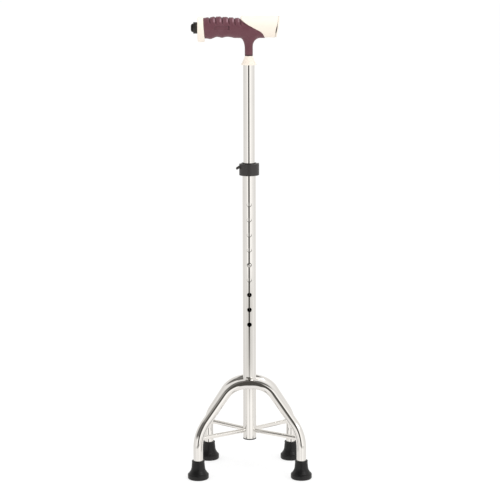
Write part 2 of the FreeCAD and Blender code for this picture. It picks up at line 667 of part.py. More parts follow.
def make_reflector():
    """Bowl that throws the light forward, open at both ends."""
    front = BEZEL_THICK - 1.0 - LENS_THICK - SEAL_D
    wide = lens_radius() - 2 * LENS_GAP
    hole = REFLECTOR_HOLE_D / 2
    steps = 8
    bowl = []
    for k in range(steps + 1):
        share = k / steps
        radius = hole + (wide - 1.2 - hole) * share
        bowl.append((radius, front - REFLECTOR_DEPTH * (1 - share**2)))
    outside = [(r + REFLECTOR_WALL, x) for r, x in bowl[:-1]] + [(wide, front - 1.0), (wide, front)]
    points = [Vector(x, 0, r) for r, x in bowl] + [Vector(x, 0, r) for r, x in reversed(outside)]
    face = Part.Face(Part.makePolygon(points + points[:1]))
    return tilted(face.revolve(Vector(0, 0, 0), RIGHT, 360))


def board_front():
    """Where the lamp board's front face stands on the tilted axis."""
    return BEZEL_THICK - 1.0 - LENS_THICK - SEAL_D - REFLECTOR_DEPTH - LED_HEIGHT


def make_led_board():
    """Round lamp board with the light-emitting chip on it."""
    front = board_front()
    board = tube_x(BARREL_BORE_R - 1.5, 0, front - BOARD_THICK, front)
    chip = tube_x(LED_D / 2, 0, front, front + LED_HEIGHT)
    return tilted(board.fuse(chip))


def make_lamp_module():
    """Aluminium slug that carries the lamp board and takes its heat."""
    front = board_front() - BOARD_THICK
    behind = tilted(block(Vector(front, -2 * NOSE_R, -2 * NOSE_R), Vector(NOSE_R, 2 * NOSE_R, 2 * NOSE_R)))
    slug = along_x(BARREL_BORE_R - CARRIER_GAP, LAMP_BACK_X, NOSE_FACE_X, BAR_Z).cut(behind)
    pin = along_x(LAMP_PIN_D / 2, CARRIER_FRONT_X, LAMP_BACK_X, BAR_Z)
    return slug.fuse(pin)


def cell_centre(index):
    """The middle of one cell, seen from the end of the carrier."""
    angle = math.radians(90 + 120 * index)
    return Vector(0, CELL_RADIUS * math.cos(angle), BAR_Z + CELL_RADIUS * math.sin(angle))


def make_battery_carrier():
    """Two end plates on a thin spine, which hold the cells."""
    front_plate = CARRIER_FRONT_X - CARRIER_END
    carrier = along_x(SPINE_D / 2, CARRIER_BACK_X, CARRIER_FRONT_X, BAR_Z)
    return carrier.fuse([along_x(CARRIER_R, CARRIER_BACK_X, CARRIER_BACK_X + CARRIER_END, BAR_Z),
                         along_x(CARRIER_R, front_plate, CARRIER_FRONT_X, BAR_Z)])


def make_battery_cells():
    """Three dry cells side by side."""
    cells = []
    start = CARRIER_BACK_X + CARRIER_END
    for index in range(3):
        centre = cell_centre(index)
        can = rod(CELL_D / 2, centre + RIGHT * start, centre + RIGHT * (start + CELL_LENGTH - 1.0))
        cells.append(can.fuse(rod(CELL_D / 5, centre + RIGHT * start, centre + RIGHT * (start + CELL_LENGTH))))
    return Part.makeCompound(cells)


def make_contact_spring():
    """Coil that presses the carrier forward and takes current to the switch."""
    wire_r = CONTACT_WIRE_D / 2
    start = BARREL_BACK_X + CAP_SPIGOT
    length = CARRIER_BACK_X - start
    coil_r = CONTACT_COIL_D / 2
    helix = Part.makeHelix((length - CONTACT_WIRE_D) / CONTACT_TURNS, length - CONTACT_WIRE_D, coil_r)
    section = Part.Wire(Part.makeCircle(wire_r, Vector(coil_r, 0, 0), BACK))
    spring = helix.makePipeShell([section], True, True)
    spring.rotate(Vector(0, 0, 0), BACK, 90)
    spring.translate(Vector(start + wire_r, 0, BAR_Z))
    return spring


# --- Back cap and switch -------------------------------------------------------------
def make_rear_cap():
    """Oval end cap with a hand stop below, and a spigot inside the barrel."""
    half_height = BARREL_R + (CAP_OVER_TOP + CAP_OVER_BOTTOM) / 2
    half_width = BARREL_R + CAP_OVER_SIDE
    centre_z = BAR_Z + (CAP_OVER_TOP - CAP_OVER_BOTTOM) / 2
    outline = Part.Ellipse(Vector(0, 0, 0), half_height, half_width)
    disc = Part.Face(Part.Wire(outline.toShape())).extrude(UP * (GRIP_BACK_X - CAP_BACK_X))
    disc.rotate(Vector(0, 0, 0), BACK, 90)
    disc.translate(Vector(CAP_BACK_X, 0, centre_z))
    disc = softened(disc, CAP_EDGE_R, round_edge_at(CAP_BACK_X))
    cap = disc.fuse(along_x(BARREL_R, GRIP_BACK_X, BARREL_BACK_X, BAR_Z))
    cap = cap.fuse(along_x(BARREL_BORE_R, BARREL_BACK_X, BARREL_BACK_X + CAP_SPIGOT, BAR_Z))
    return cap.cut(along_x(SWITCH_BODY_D / 2, CAP_BACK_X, BARREL_BACK_X + CAP_SPIGOT, BAR_Z))


def make_switch_collar():
    """Black ring on the end cap that keeps the rubber button in."""
    bore = SWITCH_D / 2 + SWITCH_GAP
    ring = along_x(COLLAR_D / 2, COLLAR_BACK_X, CAP_BACK_X, BAR_Z)
    ring = softened(ring, 0.8, round_edge_at(COLLAR_BACK_X))
    ring = ring.cut(along_x(bore, COLLAR_BACK_X, CAP_BACK_X, BAR_Z))
    pocket = bore + SWITCH_FLANGE
    return ring.cut(along_x(pocket, flange_back() - SWITCH_GAP, CAP_BACK_X, BAR_Z))


def flange_back():
    """Back face of the button's flange."""
    return CAP_BACK_X - SWITCH_TRAVEL - SWITCH_GAP - SWITCH_FLANGE


def make_switch_button():
    """Rubber push button with a domed end, a flange and a plunger, turned round the bar's axis."""
    radius, plunger = SWITCH_D / 2, PLUNGER_D / 2
    dome_r = (radius**2 + SWITCH_DOME**2) / (2 * SWITCH_DOME)
    half_way = math.asin(radius / dome_r) / 2
    middle_x = SWITCH_BACK_X + dome_r
    front = flange_back() + SWITCH_FLANGE

    def at(x, r):
        return Vector(x, 0, r)

    tip = at(SWITCH_BACK_X, 0)
    dome = Part.Arc(tip, at(middle_x - dome_r * math.cos(half_way), dome_r * math.sin(half_way)),
                    at(COLLAR_BACK_X, radius)).toShape()
    corners = [at(COLLAR_BACK_X, radius), at(flange_back(), radius), at(flange_back(), radius + SWITCH_FLANGE),
               at(front, radius + SWITCH_FLANGE), at(front, plunger), at(CAP_BACK_X, plunger), at(CAP_BACK_X, 0), tip]
    sides = [Part.makeLine(a, b) for a, b in zip(corners, corners[1:])]
    face = Part.Face(Part.Wire([dome] + sides))
    button = face.revolve(Vector(0, 0, 0), RIGHT, 360)
    button.translate(Vector(0, 0, BAR_Z))
    return button


def make_switch_module():
    """Push switch behind the button, with its terminal disc."""
    back = CAP_BACK_X + SWITCH_TRAVEL + SWITCH_GAP
    return along_x(SWITCH_BODY_D / 2, back, BARREL_BACK_X + CAP_SPIGOT, BAR_Z)


# --- Build ---------------------------------------------------------------------------
def main():
    """Make and save every sub-part."""
    os.makedirs("parts", exist_ok=True)
    save("outer_tube", make_outer_tube())
    save("tube_end_cap", make_tube_end_cap())
    save("guide_bush", make_guide_bush())
    save("clamp_ring", make_clamp_ring())
    save("clamp_screw", make_clamp_screw())
    save("clamp_nut", make_clamp_nut())
    save("lever_pin", make_lever_pin())
    save("clamp_lever", make_clamp_lever())

    washers = []
    for end, side, foot_x in (("front", -1, FRONT_FOOT_X), ("rear", 1, REAR_FOOT_X)):
        save(f"{end}_arch", make_arch(foot_x, side))
        for hand_name, hand in (("left", -1), ("right", 1)):
            save(f"strut_{end}_{hand_name}", make_strut(foot_x, side, hand))
            save(f"foot_{end}_{hand_name}", make_foot(hand * foot_x, side * FOOT_Y))
            washers.append(make_washer(hand * foot_x, side * FOOT_Y))
    save("foot_washers", Part.makeCompound(washers))

    save("inner_tube", make_inner_tube())
    save("slide_bush", make_slide_bush())
    save("snap_spring", make_snap_spring())
    save("snap_button", make_snap_button())
    save("top_plug", make_top_plug())
    save("post_rivet", rivet_blank())
    save("handle_post", make_handle_post())
    save("stem_cone", make_stem_cone())
    save("handle_barrel", make_handle_barrel())
    save("grip", make_grip())

    save("nose_housing", make_nose_housing())
    save("lens_bezel", make_lens_bezel())
    save("lens", make_lens())
    save("lens_seal", make_lens_seal())
    save("reflector", make_reflector())
    save("led_board", make_led_board())
    save("lamp_module", make_lamp_module())
    save("battery_carrier", make_battery_carrier())
    save("battery_cells", make_battery_cells())
    save("contact_spring", make_contact_spring())

    save("rear_cap", make_rear_cap())
    save("switch_collar", make_switch_collar())
    save("switch_button", make_switch_button())
    save("switch_module", make_switch_module())


main()
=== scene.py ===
"""Looks of an adjustable four-footed walking cane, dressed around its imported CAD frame.

Metres, +Z up. The origin is on the floor, under the axis of the tubes. +X is the way the torch
points, and -Y is the side with the row of adjusting holes. Sizes inside the classes are in
millimetres, and every mesh is brought to metres as it is made.
"""
from __future__ import annotations

import json
import logging
import math
from dataclasses import dataclass, field
from enum import Enum
from typing import Any, Mapping, Optional, Sequence, Union

import bpy
import numpy as np
from mathutils import Matrix, Vector

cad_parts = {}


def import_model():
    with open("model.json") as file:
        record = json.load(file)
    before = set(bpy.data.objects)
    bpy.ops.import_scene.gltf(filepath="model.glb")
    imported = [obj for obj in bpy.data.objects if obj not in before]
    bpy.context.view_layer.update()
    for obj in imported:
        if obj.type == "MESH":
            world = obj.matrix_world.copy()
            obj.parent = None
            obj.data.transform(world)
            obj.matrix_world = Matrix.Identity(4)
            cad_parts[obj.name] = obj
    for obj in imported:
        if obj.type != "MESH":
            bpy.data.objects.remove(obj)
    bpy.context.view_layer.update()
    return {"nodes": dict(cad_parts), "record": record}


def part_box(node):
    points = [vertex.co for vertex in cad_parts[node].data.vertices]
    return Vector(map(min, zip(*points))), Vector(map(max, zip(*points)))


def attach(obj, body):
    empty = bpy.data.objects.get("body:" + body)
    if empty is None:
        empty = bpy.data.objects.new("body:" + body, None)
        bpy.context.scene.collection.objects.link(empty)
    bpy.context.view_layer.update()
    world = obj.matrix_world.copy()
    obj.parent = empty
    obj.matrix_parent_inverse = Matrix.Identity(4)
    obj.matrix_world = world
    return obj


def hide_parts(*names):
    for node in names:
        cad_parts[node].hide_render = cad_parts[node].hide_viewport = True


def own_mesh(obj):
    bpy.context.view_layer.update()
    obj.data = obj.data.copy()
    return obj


LOG = logging.getLogger("cane")
MM = 0.001
TAU = 2 * math.pi
CLEAR = 0.02                   # mm between a new piece's bore and what fills it
LEG_R = 8.0                    # mm: radius of the bent tubes
RIDGE_NOTCHES = (-63.7, -54.0, -43.4, -32.8, -23.1, -13.9)  # mm along the bar
Triple = tuple[float, float, float]
Pair = tuple[float, float]


# --- Shader language -----------------------------------------------------------------
class Signal:
    """One output socket of a sheet of nodes, so that sums read as Python expressions."""

    def __init__(self, sheet: "Sheet", socket: bpy.types.NodeSocket) -> None:
        """Keep the socket and the sheet that it is on."""
        self.sheet, self.socket = sheet, socket

    def _math(self, operation: str, first: "Operand", second: "Operand" = 0.0,
              clamped: bool = False) -> "Signal":
        """A Math node's value, kept between 0 and 1 if clamped."""
        return self.sheet.node("Math", {0: first, 1: second}, operation=operation,
                               use_clamp=clamped)

    def __add__(self, other: "Operand") -> "Signal":
        """The sum."""
        return self._math("ADD", self, other)

    def __radd__(self, other: "Operand") -> "Signal":
        """The sum, reflected."""
        return self._math("ADD", other, self)

    def __sub__(self, other: "Operand") -> "Signal":
        """The difference."""
        return self._math("SUBTRACT", self, other)

    def __rsub__(self, other: "Operand") -> "Signal":
        """The difference, reflected."""
        return self._math("SUBTRACT", other, self)

    def __mul__(self, other: "Operand") -> "Signal":
        """The product."""
        return self._math("MULTIPLY", self, other)

    def __rmul__(self, other: "Operand") -> "Signal":
        """The product, reflected."""
        return self._math("MULTIPLY", other, self)

    def __truediv__(self, other: "Operand") -> "Signal":
        """The quotient."""
        return self._math("DIVIDE", self, other)

    def clamp(self) -> "Signal":
        """The value kept between 0 and 1."""
        return self._math("ADD", self, 0.0, clamped=True)

    def arctan2(self, other: "Operand") -> "Signal":
        """The angle whose sine goes with this value and whose cosine goes with the other."""
        return self._math("ARCTAN2", self, other)

    def below(self, edge: float, soft: float) -> "Signal":
        """1 well below an edge and 0 well above it, turning over a soft width."""
        return ((edge - self) / soft + 0.5).clamp()

    def between(self, low: Pair, high: Pair) -> "Signal":
        """1 between two soft edges and 0 outside them. Each is its place and its soft width."""
        return (1 - self.below(*low)) * self.below(*high)


Operand = Union[Signal, float]


class Sheet:
    """The nodes of one material or of the surroundings, with one method that makes any node."""

    def __init__(self, tree: bpy.types.NodeTree) -> None:
        """Start on an empty tree."""
        self.tree = tree
        tree.nodes.clear()

    def node(self, kind: str, inputs: Optional[Mapping[Union[int, str], Any]] = None,
             out: Union[int, str] = 0, **settings: Any) -> Signal:
        """Make any node.

        Args:
            kind: the node's type, without the words that all shader nodes start with.
            inputs: values or signals for its sockets, by name or by number.
            out: which of its outputs to return.
            **settings: its own settings, set first. "stops" holds a ramp's (place, colour) pairs.

        Returns:
            The chosen output.
        """
        made = self.tree.nodes.new("ShaderNode" + kind)
        for name, value in settings.items():
            if name == "stops":
                self._set_stops(made.color_ramp, value)
            else:
                setattr(made, name, value)
        for name, value in (inputs or {}).items():
            if isinstance(value, Signal):
                self.tree.links.new(value.socket, made.inputs[name])
            else:
                made.inputs[name].default_value = value
        return Signal(self, made.outputs[out] if len(made.outputs) else None)

    @staticmethod
    def _set_stops(ramp: bpy.types.ColorRamp, stops: Sequence[tuple[float, Triple]]) -> None:
        """Give a ramp its stops.

        Args:
            ramp: the ramp.
            stops: each stop's place and colour, in order.
        """
        while len(ramp.elements) < len(stops):
            ramp.elements.new(0.5)
        for element, (place, colour) in zip(ramp.elements, stops):
            element.position = place
            element.color = (*colour, 1.0)

    def place(self) -> Signal:
        """The point on the object, in metres."""
        return self.node("TexCoord", out="Object")

    def along(self, axis: str, point: Optional[Signal] = None) -> Signal:
        """A point's X, Y or Z: the point on the object, unless another is given."""
        return self.node("SeparateXYZ", {0: point or self.place()}, axis)

    def noise(self, scale: float, detail: float = 3.0, roughness: float = 0.55,
              stretch: Optional[Triple] = None) -> Signal:
        """Fractal noise.

        Args:
            scale: how many features to a metre.
            detail: octaves.
            roughness: weight of the finer octaves.
            stretch: a scale for each axis.

        Returns:
            A value round a half.
        """
        point = self.place()
        if stretch:
            point = self.node("VectorMath", {0: point, 1: stretch}, operation="MULTIPLY")
        return self.node("TexNoise", {"Vector": point, "Scale": scale, "Detail": detail,
                                      "Roughness": roughness}, "Fac")

    def mix(self, share: Operand, first: Union[Signal, Triple],
            second: Union[Signal, Triple]) -> Signal:
        """Blend two colours, the share being how much of the second."""
        pair = [v if isinstance(v, Signal) else (*v, 1.0) for v in (first, second)]
        return self.node("Mix", {0: share, 6: pair[0], 7: pair[1]}, 2, data_type="RGBA")

    def bump(self, height: Signal, strength: float, distance: float) -> Signal:
        """A Bump node's normal, from a height signal, its strength and its depth in metres."""
        return self.node("Bump", {"Height": height, "Strength": strength, "Distance": distance},
                         "Normal")

    def edges(self, reach: float, gain: float = 4.0) -> Signal:
        """Where the shape has an edge.

        Args:
            reach: the radius over which the edge counts, in metres.
            gain: how fast it rises with the edge's sharpness.

        Returns:
            0 on flat ground, rising towards 1 on edges.
        """
        rounded = self.node("Bevel", {"Radius": reach}, "Normal", samples=4)
        flat = self.node("NewGeometry", out="Normal")
        same = self.node("VectorMath", {0: rounded, 1: flat}, "Value", operation="DOT_PRODUCT")
        return ((1 - same) * gain).clamp()

    def hollows(self, reach: float) -> Signal:
        """0 on open ground, rising towards 1 in grooves, feeling for walls within a reach: the mask
        of the rubber's painted shade.
        """
        opened = self.node("AmbientOcclusion", {"Distance": reach}, "AO", samples=6,
                           only_local=True)
        return (1 - opened).clamp()


def srgb(*screen: int) -> Triple:
    """Screen values from 0 to 255 as a linear colour."""
    return tuple(c / 255 / 12.92 if c <= 10 else ((c / 255 + 0.055) / 1.055) ** 2.4
                 for c in screen)


# --- Finishes ------------------------------------------------------------------------
@dataclass(frozen=True)
class Finish:
    """What every finish has: its colour and how rough it is."""
    colour: Triple
    roughness: float

    def times(self, *shares: float) -> Triple:
        """The finish's colour times one share, or times a share for each of its three values."""
        return tuple(c * s for c, s in zip(self.colour, shares * (3 // len(shares))))

    def surface(self, sheet: Sheet) -> dict[str, Any]:
        """The inputs of a Principled BSDF by name, with their nodes made on a sheet."""
        raise NotImplementedError

    def material(self, name: str) -> bpy.types.Material:
        """Make the material.

        Args:
            name: its name.

        Returns:
            The material.
        """
        made = bpy.data.materials.new(name)
        made.use_nodes = True
        sheet = Sheet(made.node_tree)
        shader = sheet.node("BsdfPrincipled", self.surface(sheet))
        sheet.node("OutputMaterial", {"Surface": shader})
        return made


@dataclass(frozen=True)
class DrawnMetal(Finish):
    """Polished drawn tube: bright, with faint lines along the draw and soft smears."""
    line_scale: float = 900.0
    line_depth: float = 6e-7
    along: Triple = (1.0, 1.0, 0.02)
    smear: float = 0.03
    smear_scale: float = 38.0
    dulled: float = 0.93

    def surface(self, sheet: Sheet) -> dict[str, Any]:
        """Metal whose draw lines and smears change its roughness and colour a little.

        Args:
            sheet: where to make the nodes.

        Returns:
            The shader's inputs.
        """
        lines = sheet.noise(self.line_scale, 3.0, 0.6, self.along)
        smears = sheet.noise(self.smear_scale, 4.0, 0.6)
        colour = sheet.mix((smears - 0.3).clamp(), self.colour, self.times(self.dulled))
        rough = self.roughness + (smears - 0.5) * self.smear + (lines - 0.5) * (self.smear * 0.6)
        return {"Base Color": colour, "Metallic": 1.0, "Roughness": rough.clamp(),
                "Normal": sheet.bump(lines, 0.2, self.line_depth)}


@dataclass(frozen=True)
class MachinedMetal(Finish):
    """Turned or pressed steel: a fine grain, paler where its edges are worn."""
    grain_scale: float = 2600.0
    grain_depth: float = 8e-6
    grain_gloss: float = 0.14
    edge_reach: float = 0.0005
    edge_share: float = 0.6

    def surface(self, sheet: Sheet) -> dict[str, Any]:
        """Metal with a fine even grain.

        Args:
            sheet: where to make the nodes.

        Returns:
            The shader's inputs.
        """
        grain = sheet.noise(self.grain_scale, 2.0)
        worn = sheet.edges(self.edge_reach) * self.edge_share
        return {"Base Color": sheet.mix(worn, self.times(0.9), self.colour), "Metallic": 1.0,
                "Roughness": (self.roughness + (grain - 0.5) * self.grain_gloss).clamp(),
                "Normal": sheet.bump(grain, 0.2, self.grain_depth)}


@dataclass(frozen=True)
class MouldedPlastic(Finish):
    """Moulded plastic: a fine spark texture, slight flow shading and handled edges."""
    texture_scale: float = 1500.0
    texture_depth: float = 1.5e-5
    flow_scale: float = 26.0
    shade: Triple = (0.9, 0.9, 0.9)
    edge_reach: float = 0.0008
    edge_share: float = 0.25
    coat: float = 0.15
    coat_roughness: float = 0.22

    def surface(self, sheet: Sheet) -> dict[str, Any]:
        """Plastic with orange peel, flow shading and rubbed edges.

        Args:
            sheet: where to make the nodes.

        Returns:
            The shader's inputs.
        """
        spark = sheet.noise(self.texture_scale, 2.0)
        flow = sheet.noise(self.flow_scale)
        worn = sheet.edges(self.edge_reach)
        colour = sheet.mix((flow * 0.9).clamp(), self.colour, self.times(*self.shade))
        rubbed = tuple(min(1.0, c + 0.01) for c in self.times(1.12))
        colour = sheet.mix(worn * self.edge_share, colour, rubbed)
        rough = self.roughness + (spark - 0.5) * 0.12 + (flow - 0.5) * 0.08 - worn * 0.08
        return {"Base Color": colour, "Roughness": rough.clamp(), "Coat Weight": self.coat,
                "Coat Roughness": self.coat_roughness,
                "Normal": sheet.bump(spark, 0.3, self.texture_depth)}


@dataclass(frozen=True)
class MouldedRubber(Finish):
    """Rubber: matt, stippled, with a dusty bloom, pale edges and painted shade in its hollows. Its
    pale edges are scuffs, and on the grip painted highlights as well.
    """
    bloom: Triple = (0.12, 0.12, 0.12)
    bloom_scale: float = 60.0
    stipple_scale: float = 1900.0
    stipple_depth: float = 2.5e-5
    dust_height: float = 0.0
    # Pale edges: scuffs, and on the grip painted highlights.
    scuff: float = 0.3
    scuff_reach: float = 0.0012
    # Painted shade in hollows: how far it feels for walls, how strong it is and how dark.
    hollow_reach: float = 0.004
    hollow_share: float = 1.2
    hollow_dark: float = 0.5

    def surface(self, sheet: Sheet) -> dict[str, Any]:
        """Rubber with stipple, bloom, pale edges, painted shade in its hollows and dust near the
        floor. The pale edges are scuffs, and on the grip painted highlights as well.

        Args:
            sheet: where to make the nodes.

        Returns:
            The shader's inputs.
        """
        stipple = sheet.node("TexVoronoi", {"Vector": sheet.place(), "Scale": self.stipple_scale,
                                            "Smoothness": 0.6}, "Distance", feature="SMOOTH_F1")
        bloom = sheet.noise(self.bloom_scale, 5.0, 0.65)
        # Pale edges: scuffs, and on the grip painted highlights near the ridge crests.
        share = (bloom - 0.4).clamp() * 0.3 + sheet.edges(self.scuff_reach) * self.scuff
        if self.dust_height:
            share = share + sheet.along("Z").below(self.dust_height, self.dust_height) * bloom * 0.7
        colour = sheet.mix(share.clamp(), self.colour, self.bloom)
        # Painted shade: the colour darkens where occlusion finds walls close by.
        cavity_shade = (sheet.hollows(self.hollow_reach) * self.hollow_share).clamp()
        return {"Base Color": sheet.mix(cavity_shade, colour, self.times(self.hollow_dark)),
                "Roughness": (self.roughness + (bloom - 0.5) * 0.16).clamp(),
                "Specular IOR Level": 0.35, "Sheen Weight": 0.02, "Sheen Roughness": 0.5,
                "Normal": sheet.bump(stipple, 0.4, self.stipple_depth)}


@dataclass(frozen=True)
class GripRubber(MouldedRubber):
    """Grip rubber with a painted shadow band round the neck's foot, and painted highlights on its
    ridges just behind each notch but the first. Places are in metres."""
    # Painted shadow band round the neck's foot: its top and how dark it is.
    band_top: float = 0.7026
    band_dark: float = 0.3
    notches: tuple[float, ...] = RIDGE_NOTCHES[1:]
    # Painted highlight patches on the ridges: their place behind each notch, their height, taper
    # and colour.
    patch_x: Pair = (-0.0045, -0.0008)
    patch_z: Pair = (0.7560, 0.7615)
    patch_end: float = 0.008
    rubbed: Triple = srgb(186, 146, 157)
    bar_x: Pair = (-0.08, 0.0)

    def surface(self, sheet: Sheet) -> dict[str, Any]:
        """The rubber's own shading, with the painted shadow band and the painted highlight patches
        over its colour. The patches are a ramp along the bar that climbs to each notch and drops at
        once.

        Args:
            sheet: where to make the nodes.

        Returns:
            The shader's inputs.
        """
        inputs = super().surface(sheet)
        height = sheet.along("Z")
        # Painted shadow: darker below the neck's foot.
        colour = sheet.mix(height.below(self.band_top, 0.0005), inputs["Base Color"],
                           self.times(self.band_dark))
        # Painted highlight: a ramp along the bar, paler behind each notch, kept to a band of
        # height.
        none, full = (0.0,) * 3, (1.0,) * 3
        length = self.bar_x[1] - self.bar_x[0]
        stops = [(0.0, none)]
        for notch in self.notches:
            first, last = ((notch * MM + edge - self.bar_x[0]) / length for edge in self.patch_x)
            stops += [(first, none), (last - self.patch_end, full), (last, none)]
        share_x = (sheet.along("X") - self.bar_x[0]) / length
        ridges = sheet.node("ValToRGB", {0: share_x}, "Color", stops=stops)
        highlight_mask = ridges * height.between((self.patch_z[0], 0.002), (self.patch_z[1], 0.002))
        share = highlight_mask * (0.3 + 0.7 * sheet.noise(420.0, 2.0))
        inputs["Base Color"] = sheet.mix(share.clamp(), colour, self.rubbed)
        return inputs


@dataclass(frozen=True)
class ClearPlastic(Finish):
    """Clear moulded lens with the faintest haze."""
    haze: float = 0.06
    smear_scale: float = 90.0

    def surface(self, sheet: Sheet) -> dict[str, Any]:
        """Clear plastic that is a little rougher where it is smeared."""
        rough = (self.roughness + sheet.noise(self.smear_scale) * self.haze).clamp()
        return {"Base Color": (*self.colour, 1.0), "Roughness": rough, "IOR": 1.49,
                "Transmission Weight": 1.0}


@dataclass(frozen=True)
class PrintedWrap(Finish):
    """Shrink sleeve round a dry cell, with a band of another colour at one end."""
    band: Triple = (0.6, 0.25, 0.03)
    band_from_x: float = -0.02
    wrinkle_scale: float = 420.0

    def surface(self, sheet: Sheet) -> dict[str, Any]:
        """Two plain bands with the gloss of a film sleeve.

        Args:
            sheet: where to make the nodes.

        Returns:
            The shader's inputs.
        """
        behind = sheet.along("X").below(self.band_from_x, 0.0002)
        wrinkle = sheet.noise(self.wrinkle_scale, 2.0, 0.5, (0.2, 1.0, 1.0))
        return {"Base Color": sheet.mix(behind, self.band, self.colour),
                "Roughness": (self.roughness + (wrinkle - 0.5) * 0.1).clamp(), "Metallic": 0.3,
                "Coat Weight": 0.4, "Coat Roughness": 0.1,
                "Normal": sheet.bump(wrinkle, 0.2, 3e-5)}


class Paint(Enum):
    """The finishes of the cane. Each one's name in small letters is its slot in the record."""
    POLISHED_TUBE = DrawnMetal((0.915, 0.905, 0.885), 0.045)
    BRIGHT_ROD = DrawnMetal((0.93, 0.915, 0.885), 0.2, along=(0.05, 0.05, 1.0))
    CLAMP_METAL = MachinedMetal((0.11, 0.105, 0.10), 0.34)
    FASTENER_STEEL = MachinedMetal((0.60, 0.60, 0.60), 0.32)
    BUTTON_STEEL = MachinedMetal((0.62, 0.61, 0.59), 0.22)
    SPRING_STEEL = MachinedMetal((0.42, 0.42, 0.44), 0.35)
    FOOT_RUBBER = MouldedRubber(srgb(15, 15, 16), 0.42, srgb(37, 36, 36), dust_height=0.006)
    SWITCH_RUBBER = MouldedRubber(srgb(24, 20, 17), 0.55, srgb(42, 37, 32))
    # Its pale bloom colour, put on its edges at a high share, paints highlights near the ridge
    # crests.
    GRIP_RUBBER = GripRubber(srgb(102, 59, 68), 0.44, srgb(162, 122, 133), stipple_scale=1500.0,
                             stipple_depth=2e-5, scuff=0.6)
    LEVER_PLASTIC = MouldedPlastic(srgb(47, 44, 43), 0.42, shade=(0.85, 0.85, 0.85), coat=0.05)
    CAP_PLASTIC = MouldedPlastic(srgb(44, 44, 46), 0.5, coat=0.05)
    NYLON = MouldedPlastic(srgb(232, 230, 222), 0.38, shade=(0.97, 0.96, 0.94))
    IVORY_PLASTIC = MouldedPlastic(srgb(247, 237, 224), 0.34, shade=(0.985, 0.965, 0.94), coat=0.1)
    BLACK_PLASTIC = MouldedPlastic(srgb(38, 34, 31), 0.45, coat=0.05)
    LENS_CLEAR = ClearPlastic((0.97, 0.98, 0.98), 0.02)
    MIRROR_BOWL = DrawnMetal((0.93, 0.93, 0.92), 0.05, smear=0.04)
    SEAL_RUBBER = MouldedRubber(srgb(40, 38, 38), 0.6, srgb(60, 58, 57))
    BOARD_WHITE = MouldedPlastic(srgb(238, 236, 214), 0.4)
    SLUG_METAL = MachinedMetal((0.72, 0.72, 0.71), 0.36)
    CELL_WRAP = PrintedWrap(srgb(46, 50, 58), 0.28)

    @property
    def slot(self) -> str:
        """The record's name for it."""
        return self.name.lower()


class PaintShop:
    """Makes each material once, and puts it on pieces."""

    def __init__(self) -> None:
        """Start with nothing made."""
        self._made: dict[Paint, bpy.types.Material] = {}

    def coat(self, piece: bpy.types.Object, paint: Paint) -> None:
        """Give a piece one finish all over.

        Args:
            piece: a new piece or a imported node.
            paint: its finish.
        """
        if paint not in self._made:
            self._made[paint] = paint.value.material(paint.slot)
        if not len(piece.material_slots):
            piece.data.materials.append(self._made[paint])
        for slot in piece.material_slots:
            slot.material = self._made[paint]


# --- Mesh language -------------------------------------------------------------------
def turns(count: int) -> np.ndarray:
    """Equal steps once round, in radians."""
    return np.arange(count) / count * TAU


def bell(value: np.ndarray) -> np.ndarray:
    """A bell curve, e to the power of minus the square."""
    return np.exp(-value**2)


def smooth_step(value: np.ndarray) -> np.ndarray:
    """Clamp to 0..1 and ease: 3t2 - 2t3."""
    t = np.clip(value, 0, 1)
    return t * t * (3 - 2 * t)


def hoop(x: np.ndarray, across: np.ndarray, up: np.ndarray, middle_z: float,
         angle: np.ndarray) -> np.ndarray:
    """Points round X at angle a from straight down: (x, -across sin a, middle_z - up cos a)."""
    return np.stack(np.broadcast_arrays(x, -across * np.sin(angle),
                                        middle_z - up * np.cos(angle)), -1)


def spline_through(knots: Sequence[Pair], at: np.ndarray) -> np.ndarray:
    """A smooth curve through knots: between neighbours, a cubic whose slope at each knot is the
    mean slope of the two sides. Beyond the ends it keeps the end values.

    Args:
        knots: (place, value) in order.
        at: where to read it.

    Returns:
        The values.
    """
    x, y = np.array(knots).T
    slope = np.gradient(y, x)
    k = np.clip(np.searchsorted(x, at) - 1, 0, len(x) - 2)
    span = x[k + 1] - x[k]
    t = np.clip((at - x[k]) / span, 0, 1)
    return ((2 * t**3 - 3 * t**2 + 1) * y[k] + (t**3 - 2 * t**2 + t) * span * slope[k]
            + (3 * t**2 - 2 * t**3) * y[k + 1] + (t**3 - t**2) * span * slope[k + 1])


def grid_faces(rows: int, columns: int, close_rows: bool = True) -> np.ndarray:
    """Quads of a grid whose columns close on themselves: each face joins the points (i, j),
    (i, j+1), (i+1, j+1) and (i+1, j).

    Args:
        rows: number of rows.
        columns: number of points in a row.
        close_rows: whether the last row joins the first.

    Returns:
        An array of four point numbers to a face.
    """
    i = np.arange(rows if close_rows else rows - 1)[:, None]
    j = np.arange(columns)[None, :]
    down, on = (i + 1) % rows, (j + 1) % columns
    corners = (i * columns + j, i * columns + on, down * columns + on, down * columns + j)
    return np.stack(np.broadcast_arrays(*corners), -1).reshape(-1, 4)


def fan_faces(ring: np.ndarray, pole: int, turned: bool = False) -> np.ndarray:
    """Triangles from a closed ring of points to a pole.

    Args:
        ring: the ring's point numbers in order.
        pole: the pole's number.
        turned: whether the faces are turned over.

    Returns:
        An array of three point numbers to a face.
    """
    on = np.roll(ring, -1)
    pair = (on, ring) if turned else (ring, on)
    return np.stack([pair[0], pair[1], np.full_like(ring, pole)], -1)


